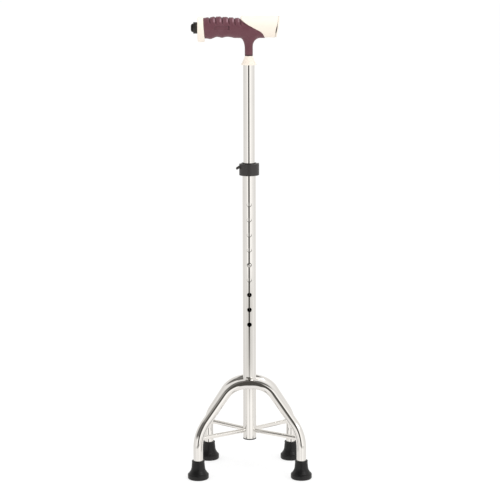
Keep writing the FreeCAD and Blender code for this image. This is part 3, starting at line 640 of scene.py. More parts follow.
def mesh_piece(name: str, points: np.ndarray, *faces: np.ndarray) -> bpy.types.Object:
    """Make a smooth-shaded piece from arrays.

    Args:
        name: the piece's name.
        points: one point to a row, in millimetres.
        *faces: arrays of faces, each with its own number of corners.

    Returns:
        The piece, linked to the scene.
    """
    mesh = bpy.data.meshes.new(name)
    corners = np.concatenate([f.ravel() for f in faces]).astype(np.int32)
    sizes = np.concatenate([np.full(len(f), f.shape[1]) for f in faces]).astype(np.int32)
    starts = np.concatenate([[0], np.cumsum(sizes)[:-1]]).astype(np.int32)
    mesh.vertices.add(len(points))
    mesh.vertices.foreach_set("co", np.ascontiguousarray(points * MM, np.float32).ravel())
    mesh.loops.add(len(corners))
    mesh.loops.foreach_set("vertex_index", corners)
    mesh.polygons.add(len(sizes))
    mesh.polygons.foreach_set("loop_start", starts)
    mesh.polygons.foreach_set("use_smooth", np.ones(len(sizes), bool))
    mesh.update(calc_edges=True)
    mesh.validate()
    return linked(name, mesh)


def linked(name: str, data: bpy.types.ID) -> bpy.types.Object:
    """A new object, linked to the scene.

    Args:
        name: its name.
        data: its mesh, light or camera.

    Returns:
        The object.
    """
    made = bpy.data.objects.new(name, data)
    bpy.context.scene.collection.objects.link(made)
    return made


def ringed_piece(name: str, rings: Sequence[np.ndarray]) -> bpy.types.Object:
    """A closed sleeve whose rings run round X: up its outside and back through its bore."""
    faces = grid_faces(len(rings), len(rings[0]))[:, ::-1]
    return mesh_piece(name, np.array(rings).reshape(-1, 3), faces)


def rounded_profile(points: Sequence[Triple], steps: int = 6) -> np.ndarray:
    """Round the corners of a profile: each corner becomes an arc of its own radius, tangent to
    both sides, and never longer than half of the shorter side.

    Args:
        points: (radius, height, corner radius) for each corner of an open profile.
        steps: arc divisions.

    Returns:
        An array of (radius, height).
    """
    nearly_straight, half_side = 1.55, 0.49
    corners = np.array([p[:2] for p in points])
    bends = [p[2] for p in points[1:]]
    out = [corners[0]]
    for before, corner, after, bend in zip(corners, corners[1:], corners[2:], bends):
        back, on = before - corner, after - corner
        reach_most = half_side * min(np.linalg.norm(back), np.linalg.norm(on))
        back, on = back / np.linalg.norm(back), on / np.linalg.norm(on)
        half = math.acos(float(np.clip(back @ on, -1, 1))) / 2
        if bend <= 0 or half > nearly_straight:
            out.append(corner)
            continue
        reach = min(bend / math.tan(half), reach_most)
        middle = (back + on) / np.linalg.norm(back + on)
        centre = corner + middle * reach * math.tan(half) / math.sin(half)
        first, last = corner + back * reach - centre, corner + on * reach - centre
        turn = math.atan2(first[0] * last[1] - first[1] * last[0], float(first @ last))
        cos, sin = (f(np.linspace(0, turn, steps + 1)) for f in (np.cos, np.sin))
        out.extend(centre + np.stack([first[0] * cos - first[1] * sin,
                                      first[0] * sin + first[1] * cos], -1))
    out.append(corners[-1])
    return np.array(out)


def turned_piece(name: str, profile: np.ndarray, columns: int, base: np.ndarray,
                 axis: Vector = Vector((0, 0, 1))) -> bpy.types.Object:
    """A closed turned piece: point (r, h) of the profile at angle a goes to (r cos a, r sin a, h),
    and the whole is turned to its axis. The profile runs up the outside, from the axis back to
    the axis, or is a ring that never meets it.

    Args:
        name: the piece's name.
        profile: an array of (radius, height) from the bottom of the outside onwards.
        columns: divisions round the axis.
        base: where the profile's origin goes.
        axis: the way of the profile's height.

    Returns:
        The piece.
    """
    meets_axis = profile[0, 0] < 1e-9 and profile[-1, 0] < 1e-9
    body = profile[1:-1] if meets_axis else profile
    angle, radius, height = turns(columns), body[:, :1], body[:, 1:]
    grid = np.broadcast_arrays(radius * np.cos(angle), radius * np.sin(angle), height)
    points = np.stack(grid, -1).reshape(-1, 3)
    faces = [grid_faces(len(body), columns, close_rows=not meets_axis)]
    if meets_axis:
        first = np.arange(columns)
        faces.append(fan_faces(first, len(points), turned=True))
        faces.append(fan_faces(first + (len(body) - 1) * columns, len(points) + 1))
        points = np.vstack([points, [[0, 0, profile[0, 1]], [0, 0, profile[-1, 1]]]])
    turn = np.array(Vector((0, 0, 1)).rotation_difference(axis).to_matrix())
    return mesh_piece(name, points @ turn.T + base, *faces)


def tube_along(name: str, path: np.ndarray, radius: np.ndarray, columns: int) -> bpy.types.Object:
    """A closed ring of round section carried along a closed path: at each point of the path the
    section lies in the plane of the path's normal and the way from the path's middle.

    Args:
        name: the piece's name.
        path: points of a closed path.
        radius: the section's radius at each point.
        columns: divisions of the section.

    Returns:
        The piece.
    """
    ahead = np.roll(path, -1, 0) - np.roll(path, 1, 0)
    ahead /= np.linalg.norm(ahead, axis=1, keepdims=True)
    out = path - path.mean(0)
    out -= (out * ahead).sum(1, keepdims=True) * ahead
    out /= np.linalg.norm(out, axis=1, keepdims=True)
    up = np.cross(ahead, out)
    angle = turns(columns)[:, None]
    ring = out[:, None] * np.cos(angle) + up[:, None] * np.sin(angle)
    points = path[:, None] + ring * radius[:, None, None]
    return mesh_piece(name, points.reshape(-1, 3), grid_faces(len(path), columns))


# --- Sub-assemblies ------------------------------------------------------------------
def node_box(node: str) -> tuple[np.ndarray, np.ndarray]:
    """A node's lowest and highest corner in millimetres."""
    low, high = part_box(node)
    return np.array(low) / MM, np.array(high) / MM


def node_radius(node: str, axis: int = 1) -> float:
    """Half of a node's width along an axis, in millimetres."""
    low, high = node_box(node)
    return (high[axis] - low[axis]) / 2


@dataclass
class Assembly:
    """A group of pieces on one body. Its sizes are in millimetres."""
    shop: PaintShop
    body: str = "upper"
    made: list[bpy.types.Object] = field(default_factory=list)

    def add(self, piece: bpy.types.Object, paint: Paint, *replaced: str) -> None:
        """Dress a new piece, seat it on the assembly's body and hide the nodes that it stands for.

        Args:
            piece: the new piece.
            paint: its finish.
            *replaced: the CAD nodes that it stands for.
        """
        self.shop.coat(piece, paint)
        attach(piece, self.body)
        if replaced:
            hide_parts(*replaced)
        self.made.append(piece)

    def build(self) -> None:
        """Make the pieces."""
        raise NotImplementedError

    def report(self) -> None:
        """Do nothing: no piece is logged."""


@dataclass
class HandleShape:
    """What the grip, the nose and the end cap share: the bar's axis and the sweeping joint, whose
    knots are (height over the bar in nose radii, x)."""
    barrel_r: float
    bar_z: float
    grip_r: float
    grip_back_x: float
    nose_r: float
    nose_z: float
    sweep: tuple[Pair, ...] = ((-1.60, 28.7), (-0.86, 24.9), (-0.30, 18.2), (-0.06, 10.5),
                               (0.42, -3.8), (0.78, -11.5), (1.20, -16.3))

    @classmethod
    def measured(cls) -> "HandleShape":
        """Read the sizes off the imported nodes.

        Returns:
            The shape with those sizes.
        """
        low, high = node_box("handle_barrel")
        nose_r = node_radius("nose_housing")
        return cls(barrel_r=node_radius("handle_barrel"), bar_z=(low[2] + high[2]) / 2,
                   grip_r=node_radius("grip"), grip_back_x=node_box("grip")[0][0], nose_r=nose_r,
                   nose_z=node_box("nose_housing")[1][2] - nose_r)

    def sweep_x(self, z: np.ndarray) -> np.ndarray:
        """Where the joint between grip and nose stands at each height."""
        return spline_through(self.sweep, (z - self.bar_z) / self.nose_r)

    def grip_back(self, angle: np.ndarray) -> np.ndarray:
        """The x of the grip's back edge, which leans forward towards the bottom, at each angle
        from straight down."""
        return self.grip_back_x + 1.2 + 1.2 * np.cos(angle)


@dataclass(kw_only=True)
class Grip(Assembly):
    """Soft sleeve over the bar and down the neck, with thumb ridges on top and finger waves below.
    The two curves are (x, radius), and the ridges' reach is in degrees from the top."""
    shape: HandleShape
    rows: int = 236
    columns: int = 232
    edge_r: float = 1.3
    tuck: float = 0.5
    skin: float = 0.35
    below: tuple[Pair, ...] = (
        (-73.5, 17.3), (-68.0, 17.3), (-62.1, 18.1), (-57.5, 16.6), (-53.2, 14.9), (-48.3, 15.1),
        (-43.4, 16.2), (-38.5, 14.95), (-33.7, 14.6), (-28.5, 15.3), (-23.9, 16.4),
        (-18.5, 16.5), (-14.1, 16.6), (25.0, 16.6))
    above: tuple[Pair, ...] = (
        (-73.5, 16.1), (-69.4, 16.5), (-61.3, 17.3), (-52.4, 18.2), (-41.8, 17.6), (-32.0, 17.0),
        (-22.3, 16.1), (-15.0, 15.6), (-8.0, 15.8), (25.0, 16.6))
    ridge_reach: tuple[float, ...] = (70.0, 74.0, 74.0, 76.0, 80.0, 82.0)
    ridge_depth: float = 1.9
    ridge_lean: float = 1.6
    ridge_tail: float = 1.1
    ridge_face: float = 0.55
    ridge_fade: float = 0.26
    crest: Triple = (0.5, 3.4, 2.2)
    plate_x: Pair = (-56.0, -31.0)
    plate_z: Pair = (743.2, 750.0)
    plate_depth: float = 1.0
    plate_soft: Pair = (0.6, 0.4)
    plate_end: Pair = (2.6, 1.2)
    neck_half: Pair = (6.6, 7.0)
    land_x: Pair = (-14.3, 18.6)
    land_y: float = 11.2
    land_room: Triple = (3.2, 1.2, 1.6)
    neck_drop: Pair = (15.5, 2.1)
    neck_groove: float = 0.3
    neck_rings: tuple[Pair, ...] = ((0.3, 0), (0.6, 0), (0.85, 0), (0.925, 0), (0.935, 0.6),
                                    (0.945, 1.0), (1.0, 1.0))

    def radius(self, x: np.ndarray, angle: np.ndarray) -> np.ndarray:
        """The bar's radius at each x and angle from straight down.

        The radius is a blend by angle of three curves along the bar: finger waves below, a round
        side, and the crowned top. The top is then notched: towards each notch the surface sinks
        over the ridge's tail, past a low crest, and behind it climbs back at once, like
        overlapping scales. The notches lean and fade out part of the way down each side. The
        blank name plate on each side is a shallow pocket with soft edges, deeper at its end.

        Args:
            x: place along the bar.
            angle: angle round the bar from straight down.

        Returns:
            The radius.
        """
        side = self.shape.grip_r
        down, up = np.clip(np.cos(angle), 0, 1) ** 1.5, np.clip(-np.cos(angle), 0, 1) ** 1.3
        r = side + down * (spline_through(self.below, x) - side)
        r = r + up * (spline_through(self.above, x) - side)
        from_top = np.degrees(np.pi - np.abs(angle))
        rise, back, width = self.crest
        for notch, reach in zip(RIDGE_NOTCHES, self.ridge_reach):
            past = x - (notch + self.ridge_lean * (from_top / reach) ** 2)
            before = np.exp(-np.clip(-past, 0, None) / self.ridge_tail) * (past <= 0)
            after = bell(np.clip(past, 0, None) / self.ridge_face) * (past > 0)
            faded = reach * self.ridge_fade
            fade = 1 - smooth_step((from_top - reach + faded) / faded)
            lift = bell((past + back) / width) * rise
            r = r + fade * (lift - (before + after) * self.ridge_depth)
        z = self.shape.bar_z - r * np.cos(angle)
        inside = (smooth_step((x - self.plate_x[0]) / self.plate_soft[0])
                  * smooth_step((self.plate_x[1] - x) / self.plate_soft[0])
                  * smooth_step((z - self.plate_z[0]) / self.plate_soft[1])
                  * smooth_step((self.plate_z[1] - z) / self.plate_soft[1]))
        end, soft = self.plate_end
        deeper = 1 + 0.9 * smooth_step((x - self.plate_x[1] + end) / soft)
        return np.maximum(r - inside * self.plate_depth * deeper, self.shape.barrel_r + self.skin)

    def bar_points(self, x: np.ndarray, angle: np.ndarray,
                   shrink: Union[float, np.ndarray] = 0.0) -> np.ndarray:
        """Points on the bar, a hoop at each x, its radius less some shrinkage."""
        r = self.radius(x, angle) - shrink
        return hoop(x, r, r, self.shape.bar_z, angle)

    def underside(self, plan: np.ndarray) -> np.ndarray:
        """Height of the bar's lower surface over points of the plan: the angle is found by trying
        again with the radius that it gives, five times over.

        Args:
            plan: (x, y) of each point.

        Returns:
            Their heights.
        """
        x, r = plan[:, 0], self.shape.grip_r
        for _ in range(6):
            angle = np.arcsin(np.clip(-plan[:, 1] / r, -0.95, 0.95))
            r = self.radius(x, angle)
        return self.shape.bar_z - r * np.cos(angle)

    def build(self) -> None:
        """One closed sleeve. Its outside is a grid along and round the bar, with a window below
        where the neck goes. The neck's own grid fills the window: from the window's rim it runs
        in over the bar's surface, turns down in a quarter of an ellipse, and goes straight down
        to the neck's foot, with a groove just above it."""
        columns, edge, shape = self.columns, self.edge_r, self.shape
        middle = columns // 2
        angle = (np.arange(columns) - middle) / columns * TAU
        end = np.full(columns, 10.0)
        for _ in range(4):
            end = shape.sweep_x(self.bar_points(end, angle)[:, 2])
        end = end + self.tuck
        start = shape.grip_back(angle)
        share = np.linspace(0, 1, self.rows)[:, None]
        x = start + edge + (end - start - edge) * share
        outer = self.bar_points(x, np.broadcast_to(angle, x.shape))
        turn = np.linspace(0, math.pi / 2, 6, endpoint=False)[:, None]
        lip_x = start + edge * (1 - np.sin(turn))
        lip = self.bar_points(lip_x, np.broadcast_to(angle, lip_x.shape),
                              edge * (1 - np.cos(turn)))[::-1]
        bore_r = shape.barrel_r + CLEAR
        bore_x = start + (end - start) * np.linspace(1, 0, 9)[:, None]
        bore = hoop(bore_x, bore_r, bore_r, shape.bar_z, angle)
        points = np.concatenate([lip, outer, bore]).reshape(-1, 3)
        total = len(points) // columns

        before, after, aside = self.land_room
        along = outer[:, middle, 0]
        rows = len(lip) + np.flatnonzero((along > self.land_x[0] - before)
                                         & (along < self.land_x[1] + after))
        half = int(math.asin((self.land_y + aside) / shape.grip_r) / TAU * columns)
        r0, r1, c0, c1 = rows[0], rows[-1], middle - half, middle + half
        row, column = np.divmod(np.arange(total * columns), columns)
        window = (row >= r0) & (row < r1) & (column >= c0) & (column < c1)
        rim = np.concatenate([r0 * columns + np.arange(c0, c1), np.arange(r0, r1) * columns + c1,
                              r1 * columns + np.arange(c1, c0, -1),
                              np.arange(r1, r0, -1) * columns + c0])
        neck_points, *neck_faces = self.neck(points[rim], rim, len(points))
        points = np.vstack([points, neck_points])
        blocks = (grid_faces(total, columns)[~window], *neck_faces)
        used = np.zeros(len(points), bool)
        for block in blocks:
            used[block.ravel()] = True
        renumber = np.cumsum(used) - 1
        piece = mesh_piece("grip_sleeve", points[used], *[renumber[b][:, ::-1] for b in blocks])
        self.add(piece, Paint.GRIP_RUBBER, "grip")

    def neck(self, rim_points: np.ndarray, rim: np.ndarray, first: int) -> tuple[np.ndarray, ...]:
        """The neck's grid: rings that run from the window's rim to an ellipse of land, from it
        down to the neck's smaller ellipse, down to the foot, and up inside it to the bar's tube.

        Args:
            rim_points: where the rim's points are.
            rim: their numbers.
            first: the number that the first new point gets.

        Returns:
            The new points, their quads and the fan that closes the inside.
        """
        middle_x, half_x = sum(self.land_x) / 2, (self.land_x[1] - self.land_x[0]) / 2
        turn = np.arctan2(rim_points[:, 1] / self.land_y, (rim_points[:, 0] - middle_x) / half_x)
        cos, sin = np.cos(turn), np.sin(turn)
        land = np.stack([middle_x + half_x * cos, self.land_y * sin], -1)
        wall = np.stack([self.neck_half[0] * cos, self.neck_half[1] * sin], -1)
        drop = self.neck_drop[0] - self.neck_drop[1] * cos
        foot_z = node_box("grip")[0][2]
        rings = []
        for share in np.linspace(0, 1, 9)[1:]:
            flat = rim_points[:, :2] * (1 - share) + land * share
            rings.append(np.column_stack([flat, self.underside(flat)]))
        for fall in np.linspace(0, math.pi / 2, 17)[1:]:
            flat = wall + (land - wall) * (1 - math.sin(fall))
            z = self.underside(flat) - drop * (1 - math.cos(fall))
            rings.append(np.column_stack([flat, z]))
        top_z = rings[-1][:, 2]
        for share, inset in self.neck_rings:
            flat = wall - self.neck_groove * inset * np.stack([cos, sin], -1)
            rings.append(np.column_stack([flat, top_z + (foot_z - top_z) * share]))
        post_r = node_radius("handle_post") + CLEAR
        roof = self.shape.bar_z - self.shape.barrel_r - 0.4
        for z in (foot_z, roof):
            rings.append(np.column_stack([post_r * cos, post_r * sin, np.full(len(rim), z)]))
        points = np.concatenate(rings + [np.array([[0, 0, roof]])])
        numbers = np.concatenate([rim, first + np.arange(len(points) - 1)]).reshape(-1, len(rim))
        on = np.roll(numbers, -1, 1)
        quads = np.stack([numbers[:-1], on[:-1], on[1:], numbers[1:]], -1).reshape(-1, 4)
        return points, quads, fan_faces(numbers[-1], first + len(points) - 1)


@dataclass(kw_only=True)
class TorchNose(Assembly):
    """Front casing of the torch, its bezel and the seal between them, a dark ring that also paints
    the shadow in their gap.
    """
    shape: HandleShape
    back_x: float = -13.4
    face_x: float = 45.6
    tilt: float = 11.0
    wall: float = 2.0
    shoulder_x: float = 21.0
    columns: int = 180
    edge: float = 0.45
    top_edge: float = 2.0
    bezel_thick: float = 2.8
    ring_columns: int = 160
    hump_at: float = 104.0
    hump_wide: float = 26.0

    def build(self) -> None:
        """Make the casing, the bezel and the seal, whose dark ring also paints the gap's shadow."""
        self.casing()
        self.bezel()
        self.seal()

    def casing(self) -> None:
        """A closed sleeve between the sweeping joint and the tilted face. Each ring of the profile
        hangs on the joint's x, on the face's x or on a fixed x, all of which change round the
        nose. The edge at the joint grows rounder over the top."""
        shape, radius = self.shape, self.shape.nose_r
        angle = turns(self.columns)
        z = shape.nose_z - radius * np.cos(angle)
        back = np.maximum(self.back_x, shape.sweep_x(z))
        front = self.face_x + math.tan(math.radians(self.tilt)) * (z - shape.nose_z)
        high = smooth_step((z - shape.bar_z - 0.86 * radius) / (0.16 * radius))
        edge = self.edge + (self.top_edge - self.edge) * high
        turn = np.linspace(0, math.pi / 2, 7)

        def ring(x: np.ndarray, r: np.ndarray, middle_z: float = shape.nose_z) -> np.ndarray:
            """A hoop of the casing."""
            return hoop(x, r, r, middle_z, angle)

        rings = [ring(back + edge * (1 - math.sin(a)), radius - edge * (1 - math.cos(a)))
                 for a in turn]
        rings += [ring(back + self.top_edge + (front - back - self.top_edge - 0.6) * share, radius)
                  for share in np.linspace(0, 1, 40)[1:-1]]
        rings += [ring(front - self.edge * (1 - math.sin(a)),
                       radius - self.edge * (1 - math.cos(a))) for a in turn[::-1]]
        rings += [ring(x, radius - self.wall) for x in (front, self.shoulder_x)]
        rings += [ring(x, shape.barrel_r + CLEAR, shape.bar_z)
                  for x in (self.shoulder_x, np.minimum(back + 0.3, self.shoulder_x))]
        self.add(ringed_piece("torch_nose", rings), Paint.IVORY_PLASTIC, "nose_housing")

    def bezel(self) -> None:
        """A turned ring: skirt, neck behind the rim, rounded rim, and a rounded seat round the
        lens."""
        lean, thick = math.radians(self.tilt), self.bezel_thick
        outer, inner = self.shape.nose_r - 0.35, self.shape.nose_r - self.wall
        skirt = inner * math.cos(lean) - 0.4
        lens_r = skirt - 1.2
        lip = lens_r - 1.4
        profile = rounded_profile([
            (skirt, -2, 0), (skirt, 0, 0), (outer - 0.9, 0, 0), (outer - 0.9, 0.35, 0.1),
            (outer, 0.35, 0.15), (outer, thick, 1.1), (lip, thick, 0.5), (lip, thick - 1.0, 0.1),
            (lens_r, thick - 1.0, 0), (lens_r, -4, 0), (skirt, -4, 0.2), (skirt, -2, 0)])[:-1]
        piece = turned_piece("bezel_ring", profile, self.ring_columns,
                             np.array([self.face_x, 0, self.shape.nose_z]),
                             Vector((math.cos(lean), 0, -math.sin(lean))))
        self.add(piece, Paint.IVORY_PLASTIC, "lens_bezel")

    def seal(self) -> None:
        """Black ring between nose and bezel, thicker at both sides than above and below, where the
        gap between them shows dark, so that it also paints that gap's shadow: a round section whose
        radius follows two humps round the torch's axis."""
        angle = turns(self.ring_columns)
        lean = math.radians(self.tilt)
        from_top = np.degrees(np.abs((angle + np.pi) % TAU - np.pi))
        # Painted shadow: the dark ring is thickest at the sides, where the gap between nose and
        # bezel shows dark.
        hump = bell((from_top - self.hump_at) / self.hump_wide)
        section = 0.12 + 0.85 * hump
        reach = self.shape.nose_r - 0.3 - section * 0.45 + 0.25 * hump
        up, ahead = reach * np.cos(angle), 0.05
        path = np.stack([self.face_x + ahead * math.cos(lean) + up * math.sin(lean),
                         -reach * np.sin(angle),
                         self.shape.nose_z - ahead * math.sin(lean) + up * math.cos(lean)], -1)
        self.add(tube_along("nose_seal", path, section, 12), Paint.SEAL_RUBBER)


@dataclass(kw_only=True)
class RearCap(Assembly):
    """Ivory end cap with its hand stop, and the black collar in it."""
    shape: HandleShape
    back_round: float = 3.0
    front_round: float = 0.7
    swell: float = 0.25
    barrel_wall: float = 2.0
    columns: int = 160
    collar_columns: int = 120

    def build(self) -> None:
        """Make the cap and the collar."""
        self.cap()
        self.collar()

    def cap(self) -> None:
        """A closed ring. Its outside is an ellipse carried along X with a rounded edge at each
        end, and its bore is a circle; each ring of the profile is a share of the ellipse, drawn
        in by the edge's arc."""
        low, high = node_box("rear_cap")
        half_y, half_z = node_radius("rear_cap"), node_radius("rear_cap", 2)
        middle_z = (high[2] + low[2]) / 2
        angle = turns(self.columns)
        front, back = self.shape.grip_back(angle) - 0.03, low[0]
        bore = node_radius("switch_module") + CLEAR
        seat = self.shape.barrel_r - self.barrel_wall - CLEAR
        turn = np.linspace(0, math.pi / 2, 9)

        def ellipse(x: np.ndarray, inset: float) -> np.ndarray:
            """The cap's ellipse at x, drawn in by an inset."""
            return hoop(x, half_y - inset, half_z - inset, middle_z, angle)

        def circle(x: np.ndarray, r: float) -> np.ndarray:
            """A circle round the bar's axis at x."""
            return hoop(x, r, r, self.shape.bar_z, angle)

        mouth = circle(back, bore)
        rings = [mouth, 0.5 * mouth + 0.5 * ellipse(back, self.back_round)]
        rings += [ellipse(back + self.back_round * (1 - math.cos(a)),
                          self.back_round * (1 - math.sin(a))) for a in turn]
        edge_from, edge_to = back + self.back_round, front - self.front_round
        rings += [ellipse(edge_from + (edge_to - edge_from) * share, self.swell * share**2)
                  for share in np.linspace(0, 1, 10)[1:-1]]
        rings += [ellipse(front - self.front_round * (1 - math.cos(a)),
                          self.swell + self.front_round * (1 - math.sin(a))) for a in turn[::-1]]
        inside_x = node_box("handle_barrel")[0][0]
        rings += [circle(front, self.shape.barrel_r), circle(inside_x, self.shape.barrel_r),
                  circle(inside_x, seat), circle(high[0], seat), circle(high[0], bore)]
        self.add(ringed_piece("end_cap", rings), Paint.IVORY_PLASTIC, "rear_cap")

    def collar(self) -> None:
        """A turned ring with a stepped rim: rounded outside, bore and pocket for the button's
        flange."""
        low, high = node_box("switch_collar")
        outer, length = node_radius("switch_collar"), high[0] - low[0]
        bore = node_radius("switch_button") - PushButton.flange_wide + 0.3
        pocket, pocket_x = bore + PushButton.flange_wide, length - 3.3
        profile = np.array([
            (outer - 0.35, 0), (outer - 0.35, 0.7), (outer, 0.9), (outer, length - 0.35),
            (outer - 0.12, length - 0.1), (outer - 0.4, length), (bore + 0.4, length),
            (bore, length - 0.4), (bore, pocket_x), (pocket, pocket_x), (pocket, 0)])
        piece = turned_piece("switch_ring", profile, self.collar_columns,
                             np.array([high[0], 0, self.shape.bar_z]), Vector((-1, 0, 0)))
        self.add(piece, Paint.BLACK_PLASTIC, "switch_collar")


@dataclass(kw_only=True)
class PushButton(Assembly):
    """The torch's rubber push button, on its own body."""
    shape: HandleShape
    body: str = "switch_button"
    flange_wide: float = 1.2
    flange_x: float = 1.8
    plunger_r: float = 2.5
    dish: Pair = (0.35, 2.6)
    dome_powers: Pair = (0.62, 0.8)
    columns: int = 96

    def build(self) -> None:
        """A turned piece: plunger, flange, side and a dome with a shallow dish on top. The dome is
        a superellipse, its radius and height powers of a cosine and a sine, less a bell curve."""
        low, high = node_box("switch_button")
        flange, length = node_radius("switch_button"), high[0] - low[0]
        side, plunger, at = flange - self.flange_wide, self.plunger_r, self.flange_x
        dome = node_box("switch_collar")[0][0] - low[0]
        rise = np.linspace(0, math.pi / 2, 17)
        r = side * np.cos(rise) ** self.dome_powers[0]
        r[-1] = 0.0
        deep, wide = self.dish
        crown = length - dome + dome * np.sin(rise) ** self.dome_powers[1] - deep * bell(r / wide)
        profile = np.vstack([
            [(0, 0), (plunger - 0.3, 0), (plunger, 0.3), (plunger, at), (flange - 0.2, at),
             (flange, at + 0.2), (flange, at + 1.0), (flange - 0.2, at + 1.2),
             (side + 0.15, at + 1.2), (side, at + 1.4)], np.stack([r, crown], -1)])
        piece = turned_piece("push_button", profile, self.columns,
                             np.array([high[0], 0, self.shape.bar_z]), Vector((-1, 0, 0)))
        self.add(piece, Paint.SWITCH_RUBBER, "switch_button")


@dataclass(kw_only=True)
class Foot(Assembly):
    """A rubber foot on one leg."""
    place: str
    body: str = "base"
    columns: int = 144
    tread_rings: tuple[float, ...] = (10.2, 13.4)
    sole: float = 8.5

    def build(self) -> None:
        """One turned piece: hollowed sole with ring grooves, upright skirt, hollow shoulder,
        tapering collar with a bead at its mouth, and the socket that the leg stands in."""
        node = f"foot_{self.place}"
        low, high = node_box(node)
        base, height = node_radius(node, 0) - CLEAR, high[2]
        socket = LEG_R + CLEAR
        neck, mouth = socket + 3.4, socket + 2.2
        tread = [(0, 1.5, 0), (6.4, 1.5, 0.3), (7.0, 0.0, 0.3)]
        for ring in self.tread_rings:
            tread += [(ring - 0.7, 0.0, 0.15), (ring - 0.4, 0.9, 0.2), (ring + 0.4, 0.9, 0.2),
                      (ring + 0.7, 0.0, 0.15)]
        skirt = [(base - 0.9, 0.0, 0.6), (base, 1.4, 1.2), (base, 7.6, 1.6), (base - 2.2, 9.6, 1.6),
                 (neck + 0.9, 14.6, 3.0), (neck, 18.0, 3.0), (mouth + 0.25, height - 2.4, 0.6),
                 (mouth + 0.55, height - 1.8, 0.5), (mouth + 0.45, height - 0.35, 0.5),
                 (mouth - 0.5, height, 0.5), (socket, height, 0.3)]
        inside = [(socket, self.sole, 0.2), (0, self.sole, 0)]
        profile = rounded_profile(tread + skirt + inside, steps=5)
        middle = (low + high) / 2 * (1, 1, 0)
        piece = turned_piece(f"rubber_foot_{self.place}", profile, self.columns, middle)
        self.add(piece, Paint.FOOT_RUBBER, node)


@dataclass
class WeldSeams(Assembly):
    """The weld beads of the base: each arch to the tube, and each brace rod to the tube."""
    body: str = "base"
    bead: float = 0.95
    rod_bead: float = 0.6
    arch_wrap: float = 36.0
    arch_rise: float = 0.62
    proud: float = 0.1

    def build(self) -> None:
        """Make a bead for each arch and for the inner end of each rod."""
        tube_r = node_radius("outer_tube", 0)
        for end, side in (("front", -1), ("rear", 1)):
            self.arch_seam(end, side, tube_r)
            for hand in ("left", "right"):
                self.rod_seam(f"{end}_{hand}", tube_r)

    def ripple(self, name: str, path: np.ndarray, bead: float, waves: int) -> None:
        """A closed bead along a path whose radius swells and sinks, as a weld's does: two waves
        of a cosine round the path.

        Args:
            name: the piece's name.
            path: points of a closed path.
            bead: the middle radius.
            waves: how many ripples there are.
        """
        turn = turns(len(path))
        radius = bead * (1 + 0.16 * np.cos(turn * waves) + 0.08 * np.cos(turn * 5 + 1.3))
        self.add(tube_along(name, path, radius, 10), Paint.BRIGHT_ROD)

    def arch_seam(self, end: str, side: int, tube_r: float) -> None:
        """The seam between an arch's top run and the tube: a closed loop on the tube's surface, an
        ellipse in its unrolled plane that hugs the arch's contact line above and below.

        Args:
            end: front or rear.
            side: -1 in front of the tube and 1 behind it.
            tube_r: the tube's radius.
        """
        middle_z = node_box(f"{end}_arch")[1][2] - LEG_R
        turn = turns(120)
        around = math.radians(self.arch_wrap) * np.cos(turn)
        r = tube_r + self.proud
        path = np.stack([r * np.sin(around), side * r * np.cos(around),
                         middle_z + LEG_R * self.arch_rise * np.sin(turn)], -1)
        self.ripple(f"weld_{end}_arch", path, self.bead, 26)

    def rod_seam(self, place: str, tube_r: float) -> None:
        """The seam round a rod where it meets the tube: a circle of the rod's radius pushed onto
        the tube.

        Args:
            place: the rod's end and hand.
            tube_r: the tube's radius.
        """
        low, high = node_box(f"strut_{place}")
        leg = sum(node_box(f"foot_{place}"))[:2] / 2
        way = leg / np.linalg.norm(leg)
        aside = np.array([-way[1], way[0]])
        ring_r = node_radius(f"strut_{place}", 2) + self.proud
        turn = turns(64)
        s = ring_r * np.cos(turn)
        ahead = np.sqrt((tube_r + self.proud / 2) ** 2 - s**2)
        plan = way * ahead[:, None] + aside * s[:, None]
        path = np.column_stack([plan, (low[2] + high[2]) / 2 + ring_r * np.sin(turn)])
        self.ripple(f"weld_{place}_rod", path, self.rod_bead, 15)


@dataclass(kw_only=True)
class SnapSpring(Assembly):
    """Bent strip in the inner tube that pushes the snap button out."""
    nodes: Mapping[str, bpy.types.Object]
    pressed_share: float = 0.72

    def build(self) -> None:
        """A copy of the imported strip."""
        strip = linked("spring_strip", self.nodes["snap_spring"].data.copy())
        self.add(strip, Paint.SPRING_STEEL, "snap_spring")
        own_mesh(strip)


@dataclass(kw_only=True)
class KeptNodes(Assembly):
    """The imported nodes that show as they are, each in the finish of its slot."""
    record: Mapping[str, Any]
    nodes: Mapping[str, bpy.types.Object]

    def build(self) -> None:
        """Repaint every node by the slot that the record gives it."""
        for part in self.record["subparts"]:
            paint = Paint[part["material_slot"].upper()]
            self.shop.coat(self.nodes[part["node"]], paint)
            LOG.info("%s in %s", part["node"], paint.slot)


